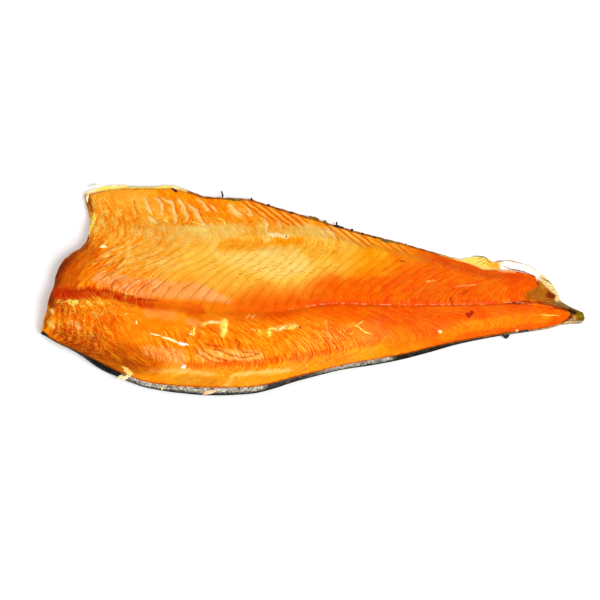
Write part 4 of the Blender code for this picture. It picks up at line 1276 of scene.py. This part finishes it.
def skin_material(colours):
    """Smoked skin: painted tones under scales, with silver flecks where it is not dark."""
    material, nodes, shader = start_material("salmon_skin_scales", SKIN_GLOSS)
    mask, ease, times = nodes.mask, nodes.ease, nodes.times
    place = nodes.place()
    spread = {"Vector": nodes.join(mask("skin_along"), mask("skin_around")), "Scale": SKIN_SCALES_A_METRE}
    scales = nodes.add("ShaderNodeTexVoronoi", spread, feature="DISTANCE_TO_EDGE").outputs["Distance"]
    rim = times(ease(scales, *SCALE_RANGE), mask("scaly"))
    specks = nodes.noise(place, *SKIN_SPECKS)
    patches = nodes.noise(place, *SKIN_PATCHES)
    silver = times(mask("silver"), ease(patches, *SILVER_PATCH_RANGE))
    silver = times(silver, ease(specks, *SILVER_SPECK_RANGE))
    colour = nodes.blend(silver, nodes.tone(), colours["skin_silver"])
    colour = smoked(nodes, colour, place, *SKIN_SMOKE)
    colour = nodes.blend(times(rim, SCALE_SHADE), colour, colours["skin_dark"])
    rays = nodes.stripes(nodes.times_plus(patches, RAY_WOBBLE, mask("ray")), FIN_LINE)
    colour = nodes.blend(times(times(rays, mask("fin")), RAY_SHADE), colour, colours["brown"])
    height = nodes.times_plus(rim, SCALE_HEIGHT, times(specks, SPECK_HEIGHT))
    finish_material(nodes, shader, colour, place, SKIN_FILM, height, SKIN_BUMP)
    return material


# Tones and markings at each point

def painted(across, down, first, layers):
    """Tone at each pixel: the first colour, then each (colour, strength, soft edge, path) laid over it."""
    colours = tones_now()
    tone = np.broadcast_to(colours[first], across.shape + (3,)).copy()
    flat = flat_points(across, down)
    large, small = ([unevenness(flat, *lumps) for lumps in pair] for pair in (TONE_DRIFT, TONE_SHIVER))
    for name, strength, edge, path in layers:
        reach = min(edge, WIDEST_DRIFT_EDGE) * DRIFT_SHARE
        shifted = [place + reach * big + SHIVER_PIXELS * fine
                   for place, big, fine in zip((across, down), large, small)]
        share = strength * near_path(*shifted, path, edge)
        tone += (colours[name] - tone) * share[..., None]
    return tone


def line_tones():
    """Tones of the ribs, with a pale band before and a shade behind each, and of folds and creases."""
    bands = [(*BAND_TONE, [(x + BAND_ASIDE, y, r) for x, y, r in path]) for path in RIBS]
    shades = [(*SHADE_TONE, [(x + SHADE_ASIDE, y, r * SHADE_WIDTH) for x, y, r in path]) for path in RIBS]
    lines = ((CREST_TONE, RIBS), (FOLD_TONE, FOLDS), (CREASE_TONE, CREASES))
    return bands + shades + [(*tone, path) for tone, paths in lines for path in paths]


def turned(across, down, angle):
    """Pixels along and across a direction that runs down to the right at the angle."""
    along = across * math.cos(angle) + down * math.sin(angle)
    return along, down * math.cos(angle) - across * math.sin(angle)


def fin_rays(across, down):
    """Counts the rays of the tail fin round its root."""
    return np.arctan2(down - FIN_ROOT[1], across - FIN_ROOT[0]) * FIN_RAYS


def flesh_masks(columns, across_line, count):
    """Fine markings of the flesh at every point of its grid."""
    x, y = columns[..., 0], columns[..., 1]
    across, down = in_picture(columns)
    masks = {name: strongest(across, down, layers) for name, layers in MARKINGS.items()}
    masks["flake"] = count
    masks["grain"] = y * MM
    masks["hatch"] = (down - HATCH_SLANT * across) / HATCH_PITCH
    flat = flat_points(across, down)
    drift, row_drift = (amount * unevenness(flat, size, seed) for amount, size, seed in CELL_DRIFT)
    column = (across + CELL_LEAN * down) / CELL_PITCH + drift
    row = (down - CELL_SLANT * across) / CELL_ROW + CELL_STAGGER * np.floor(column) + row_drift
    inside = [rise(np.abs(phase - np.floor(phase) - 0.5), *CELL_EDGE) for phase in (column, row)]
    masks["blocks"] = masks["cells"] * inside[0] * inside[1]
    strand_along, strand = turned(across, down, FIBRE_ANGLE)
    masks["strand"] = strand / FIBRE_PITCH
    masks["strand_along"] = strand_along / FIBRE_LENGTH
    masks["ripple"] = (down + RIPPLE_SLANT * across) / RIPPLE_PITCH
    masks["rib"] = turned(across, down, FAN_ANGLE)[1] / FAN_PITCH
    masks["ray"] = fin_rays(across, down)
    masks["thread"] = np.exp(-((across_line - SEAM) * width_at(x) / THREAD_REACH) ** 2)
    masks["thread"] *= rise(x, *THREAD_BEGINS) * rise(x, *THREAD_ENDS)
    return masks


def at_belly_rim(columns):
    """1 on the skin's thin rim at the belly edge, beyond the pale lip by the head, else 0."""
    last = (np.arange(len(columns)) >= len(columns) - 2)[:, None]
    return last * rise(columns[..., 0], *BELLY_RIM)


def skin_masks(columns, inner):
    """Fine markings of the skin at every point of its grid."""
    x, y = columns[..., 0], columns[..., 1]
    share = share_at(x, y)
    steps = np.linalg.norm(np.diff(columns, axis=0), axis=2)
    around = np.concatenate((np.zeros((1, x.shape[1])), np.cumsum(steps, axis=0)))
    wall = curve(SILVER_ALONG, x)
    down_wall = (np.arange(columns.shape[0]) / BACK_STEPS)[:, None]
    outline = rise(down_wall, SILVER_END, SILVER_END - SILVER_FADE)
    flank = FLANK_SILVER * rise(share, *ON_FLANK) * (1 - at_belly_rim(columns))
    silver = np.maximum(wall * rise(share, *ON_BACK_WALL) * outline, flank)
    across, down = in_picture(columns)
    return {
        "skin_along": x * MM,
        "skin_around": around * MM,
        "silver": wall * (down_wall == 0) if inner else silver,
        "scaly": 0.0 if inner else 1.0,
        "fin": rise(across, *FIN_ACROSS) * rise(down, *FIN_DOWN) if inner else 0.0,
        "ray": fin_rays(across, down),
    }


def skin_tone(columns, inner):
    """Tone of the skin: dark back, pale belly, and the painted lip and tail on the upper face."""
    if inner:
        return painted(*in_picture(columns), "skin_line", SKIN_TONES)
    x, y = columns[..., 0], columns[..., 1]
    share = share_at(x, y)
    colours = tones_now()
    pale = (rise(share, *PALE_BELLY) * rise(x, *PALE_LENGTH))[..., None]
    olive = rise(x, *OLIVE_TAIL)[..., None]
    tone = mix(mix(colours["skin_dark"], colours["skin_white"], pale), colours["olive"], olive)
    return mix(tone, colours["skin_line"], at_belly_rim(columns)[..., None])


def raise_tail(column):
    """Lifts the skin's upper face past the end of the flesh: a thick stub, and a thinner fin root."""
    x, y = column[:, 0], column[:, 1]
    share = share_at(x, y)
    past_flesh = x - curve(TAIL_CUT, np.clip(share, 0, 1)) - TAIL_CLEARANCE
    stub = soft_step((STUB_SHARE - share) / STUB_BLEND)
    column[:, 2] += mix(FIN_HEIGHT, STUB_HEIGHT, stub) * soft_step(past_flesh / TAIL_SLOPE)


# Settings that a user would change

def length_property(name, description, millimetres):
    """A length that is given in millimetres and kept in metres."""
    return bpy.props.FloatProperty(
        name=name, description=description, default=millimetres * MM, unit="LENGTH", min=0.0, precision=4)


class SalmonSizes(bpy.types.PropertyGroup):
    """Sizes of the side's relief"""

    flake_step: length_property("Flake step", "Height of the step between two flakes", 0.65)
    seam_depth: length_property("Seam depth", "Depth of the groove along the middle of the side", 1.4)
    swell: length_property("Swell", "Height of the flesh's soft unevenness", 0.42)
    raggedness: bpy.props.FloatProperty(
        name="Raggedness", description="How uneven curd, fat and scraps are", default=0.5,
        subtype="FACTOR", min=0.0, max=1.0)


def colour_property(name, description, colour):
    """A colour that is given in sRGB, from 0 to 255."""
    return bpy.props.FloatVectorProperty(
        name=name, description=description, default=linear(colour), subtype="COLOR",
        size=4, min=0.0, max=1.0)


class SalmonColours(bpy.types.PropertyGroup):
    """Colours of the side, as they show in even light"""

    orange: colour_property("Orange", "Smoked flesh", (252, 143, 10))
    apricot: colour_property("Apricot", "Flesh of the upper half by the cut", (255, 174, 50))
    gold: colour_property("Gold", "Paler flesh in the middle of the upper half", (252, 188, 64))
    # Straw also lays the painted highlight along the ridge
    straw: colour_property("Straw", "Palest flesh and thin fat", (253, 206, 104))
    yolk: colour_property("Yolk", "Strong yellow orange", (254, 162, 8))
    deep: colour_property("Deep orange", "Flesh towards the tail", (241, 98, 1))
    ember: colour_property("Ember", "Red orange in grooves and at thin edges", (228, 78, 3))
    red: colour_property("Seam red", "Blood line along the seam", (208, 50, 3))
    blood: colour_property("Blood spot", "Small dark red spots", (176, 22, 10))
    # Rust also lays painted shade where the flesh turns down at the head cut and at the lower left
    rust: colour_property("Rust", "Smoked flesh at the cut and the back", (208, 86, 4))
    # Smoked brown also lays painted shade along the head cut and its left edge
    brown: colour_property("Smoked brown", "Browned cuts and dark spots", (128, 48, 8))
    peach: colour_property("Peach", "Pale pink orange flesh", (251, 174, 98))
    pink: colour_property("Pink", "Flesh just above the seam", (254, 166, 88))
    line: colour_property("Flake line", "Dark lines between flakes", (204, 88, 12))
    # Cream also colours a lump that stands as a painted glint
    cream: colour_property("Cream", "Membrane and fat", (255, 238, 176))
    # Butter also lays the painted highlight along the ridge and colours the painted glints of the flecks
    butter: colour_property("Butter", "Yellow fat", (254, 230, 96))
    white: colour_property("Curd white", "Set white of the flesh", (255, 250, 236))
    pale: colour_property("Pale membrane", "Thread in the seam and scraps", (252, 200, 150))
    skin_dark: colour_property("Dark skin", "Skin of the back", (7, 6, 5))
    skin_line: colour_property("Skin edge", "Thin edge of the skin", (180, 98, 26))
    skin_silver: colour_property("Silver skin", "Flecks of the flank", (226, 216, 196))
    skin_white: colour_property("White skin", "Skin of the belly", (206, 198, 180))
    tan: colour_property("Tan", "Root of the tail fin", (182, 112, 22))
    moss: colour_property("Moss", "Dull green brown bits of skin", (118, 96, 48))
    olive: colour_property("Olive", "Skin at the tail", (121, 97, 14))
    pink_grey: colour_property("Pink grey", "Cut end of the tail", (196, 156, 130))


def colours_now():
    """The colours of the settings, each with its alpha."""
    group = bpy.context.scene.salmon_colours
    return {name: tuple(getattr(group, name)) for name in SalmonColours.__annotations__}


def tones_now():
    """The colours of the settings without alpha, as arrays."""
    return {name: np.array(colour[:3]) for name, colour in colours_now().items()}


# Pieces

class SALMON_OT_add_flesh(bpy.types.Operator):
    """Add the smoked flesh with its flakes, seam, ridge and belly flap"""

    bl_idname = "salmon.add_flesh"
    bl_label = "Flesh"

    def execute(self, context):
        along, count = flake_lines()
        across = across_lines()
        top = np.array([top_column(along, count, line) for line in across])
        flat = top * (1, 1, 0)
        picture = in_picture(top)
        swell = context.scene.salmon_sizes.swell / MM
        large, small = (unevenness(flat, *lumps) for lumps in SWELL_LUMPS)
        relief = swell * large + SMALL_SWELL * swell * small
        shifted = [place + LINE_DRIFT_PIXELS * unevenness(flat, *lumps)
                   for place, lumps in zip(picture, LINE_DRIFT)]
        heights = ((RIB_HEIGHT, RIBS), (FOLD_HEIGHT, FOLDS), (CREASE_HEIGHT, CREASES))
        lines = [(height, LINE_EDGE, path) for height, paths in heights for path in paths]
        for height, edge, path in STROKES + lines:
            relief += height * near_path(*shifted, path, edge)
        tone = painted(*picture, "orange", TONES + line_tones())
        masks = flesh_masks(top, across[:, None], count)
        top[..., 2] += relief * (rise(across, *RELIEF_RISE) * rise(across, *RELIEF_FALL))[:, None]
        for axis, (amount, lumps) in enumerate(zip(CREST_DRIFT, CREST_LUMPS)):
            top[..., axis] += amount * unevenness(flat, *lumps)
        lower = lower_surface(along, -GAP, False, HEAD_CUT, TAIL_CUT)
        lower = np.concatenate((top[:1], lower, top[-1:]))
        mesh = bmesh.new()
        upper_grid = add_grid(mesh, top, tone, masks)
        lower_grid = add_grid(mesh, lower, colours_now()["rust"][:3], {"flake": count}, facing_down=True)
        close_between(mesh, upper_grid, lower_grid)
        material = flesh_material(colours_now())
        finish_piece("flesh", mesh, material, "salmon_flesh", [SKIN_THICKNESS + GAP])
        return {"FINISHED"}


class SALMON_OT_add_skin(bpy.types.Operator):
    """Add the skin under the flesh, with its pale lip, the tail stub and the root of the tail fin"""

    bl_idname = "salmon.add_skin"
    bl_label = "Skin"

    def execute(self, context):
        along, _ = flake_lines()
        head_cut = [(share, x - SKIN_AT_HEAD) for share, x in HEAD_CUT]
        inner = lower_surface(along, 0.0, True, head_cut, SKIN_TAIL_CUT)
        outer = lower_surface(along, SKIN_THICKNESS, True, head_cut, SKIN_TAIL_CUT)
        for column in inner:
            raise_tail(column)
        mesh = bmesh.new()
        inner_grid = add_grid(mesh, inner, skin_tone(inner, True), skin_masks(inner, True))
        outer_grid = add_grid(mesh, outer, skin_tone(outer, False), skin_masks(outer, False),
                              facing_down=True)
        close_between(mesh, inner_grid, outer_grid)
        material = skin_material(colours_now())
        finish_piece("skin", mesh, material, "salmon_skin", [0.0, SKIN_THICKNESS])
        return {"FINISHED"}


class SALMON_OT_add_curd(bpy.types.Operator):
    """Add the white and yellow curd, a cream lump as a painted glint, and the dark specks on the flesh"""

    bl_idname = "salmon.add_curd"
    bl_label = "Curd"

    def execute(self, context):
        tree = surface_tree("flesh")
        mesh = bmesh.new()
        for lump in CURD:
            add_lump(mesh, tree, *lump)
        for seed, cluster in enumerate(CRUMBS):
            for lump in crumbs(*cluster, seed):
                add_lump(mesh, tree, *lump)
        finish_lumps("curd", mesh, lump_material("curd", *CURD_FINISH))
        return {"FINISHED"}


class SALMON_OT_add_trimmings(bpy.types.Operator):
    """Add the scraps of skin and fat, the thin strands at the tail and the spikes at the belly edge"""

    bl_idname = "salmon.add_trimmings"
    bl_label = "Trimmings"

    def execute(self, context):
        tree = surface_tree("flesh", "skin")
        mesh = bmesh.new()
        for lump in TRIMMINGS:
            add_lump(mesh, tree, *lump)
        for colour, path in SPIKES:
            add_lump(mesh, tree, colour, path[0][2], path, depth=path[0][2])
        finish_lumps("trimmings", mesh, lump_material("scraps", *SCRAP_FINISH))
        return {"FINISHED"}


class SALMON_OT_add_studio(bpy.types.Operator):
    """Add the pale floor, the soft lights and the camera"""

    bl_idname = "salmon.add_studio"
    bl_label = "Studio"

    def execute(self, context):
        scene = context.scene
        mesh = bmesh.new()
        bmesh.ops.create_grid(mesh, x_segments=1, y_segments=1, size=FLOOR_SIZE)
        data = bpy.data.meshes.new("floor")
        mesh.to_mesh(data)
        mesh.free()
        material, _, shader = start_material("white_floor", 0.0)
        shader.inputs["Base Color"].default_value = FLOOR_WHITE
        shader.inputs["Roughness"].default_value = FLOOR_ROUGHNESS
        shader.inputs["Emission Color"].default_value = (1, 1, 1, 1)
        shader.inputs["Emission Strength"].default_value = FLOOR_GLOW
        data.materials.append(material)
        floor = bpy.data.objects.new("floor", data)
        floor.location.z = FLOOR_LEVEL
        scene.collection.objects.link(floor)

        world = bpy.data.worlds.new("studio")
        scene.world = world
        world.use_nodes = True
        sky = world.node_tree.nodes["Background"].inputs
        sky["Color"].default_value = SKY_WHITE
        sky["Strength"].default_value = SKY_STRENGTH
        for light in LIGHTS:
            self.add_light(*light)

        camera = bpy.data.objects.new("camera", bpy.data.cameras.new("camera"))
        camera.data.lens = LENS
        camera.data.sensor_width = SENSOR
        camera.location = Vector((VIEW_TARGET + VIEW_BACK * VIEW_DISTANCE) * MM)
        camera.rotation_euler = (math.pi / 2 - VIEW_ELEVATION, 0, 0)
        camera.data.clip_end = CAMERA_REACH
        scene.collection.objects.link(camera)
        scene.camera = camera
        scene.view_settings.view_transform = "Standard"
        return {"FINISHED"}

    def add_light(self, name, place, size, power):
        """A square soft light at the place, turned to the middle of the side."""
        light = bpy.data.lights.new(name, "AREA")
        light.size = size
        light.energy = power
        holder = bpy.data.objects.new(name, light)
        holder.location = place
        holder.rotation_euler = (-Vector(place)).to_track_quat("-Z", "Y").to_euler()
        bpy.context.scene.collection.objects.link(holder)


class SALMON_PT_pieces(bpy.types.Panel):
    """Lists the pieces of the side and their settings"""

    bl_label = "Salmon side"
    bl_idname = "SALMON_PT_pieces"
    bl_space_type = "VIEW_3D"
    bl_region_type = "UI"
    bl_category = "Salmon"

    def draw(self, context):
        for operator in PIECES:
            self.layout.operator(operator.bl_idname)
        for name in SalmonSizes.__annotations__:
            self.layout.prop(context.scene.salmon_sizes, name)
        for name in SalmonColours.__annotations__:
            self.layout.prop(context.scene.salmon_colours, name)


PIECES = (SALMON_OT_add_flesh, SALMON_OT_add_skin, SALMON_OT_add_curd, SALMON_OT_add_trimmings,
          SALMON_OT_add_studio)
CLASSES = (SalmonSizes, SalmonColours, *PIECES, SALMON_PT_pieces)


def register():
    for made in CLASSES:
        bpy.utils.register_class(made)
    bpy.types.Scene.salmon_sizes = bpy.props.PointerProperty(type=SalmonSizes)
    bpy.types.Scene.salmon_colours = bpy.props.PointerProperty(type=SalmonColours)


def unregister():
    del bpy.types.Scene.salmon_colours
    del bpy.types.Scene.salmon_sizes
    for made in reversed(CLASSES):
        bpy.utils.unregister_class(made)


def main():
    """Makes every piece and the studio."""
    register()
    bpy.ops.salmon.add_flesh()
    bpy.ops.salmon.add_skin()
    bpy.ops.salmon.add_curd()
    bpy.ops.salmon.add_trimmings()
    bpy.ops.salmon.add_studio()


if __name__ == "__main__":
    main()
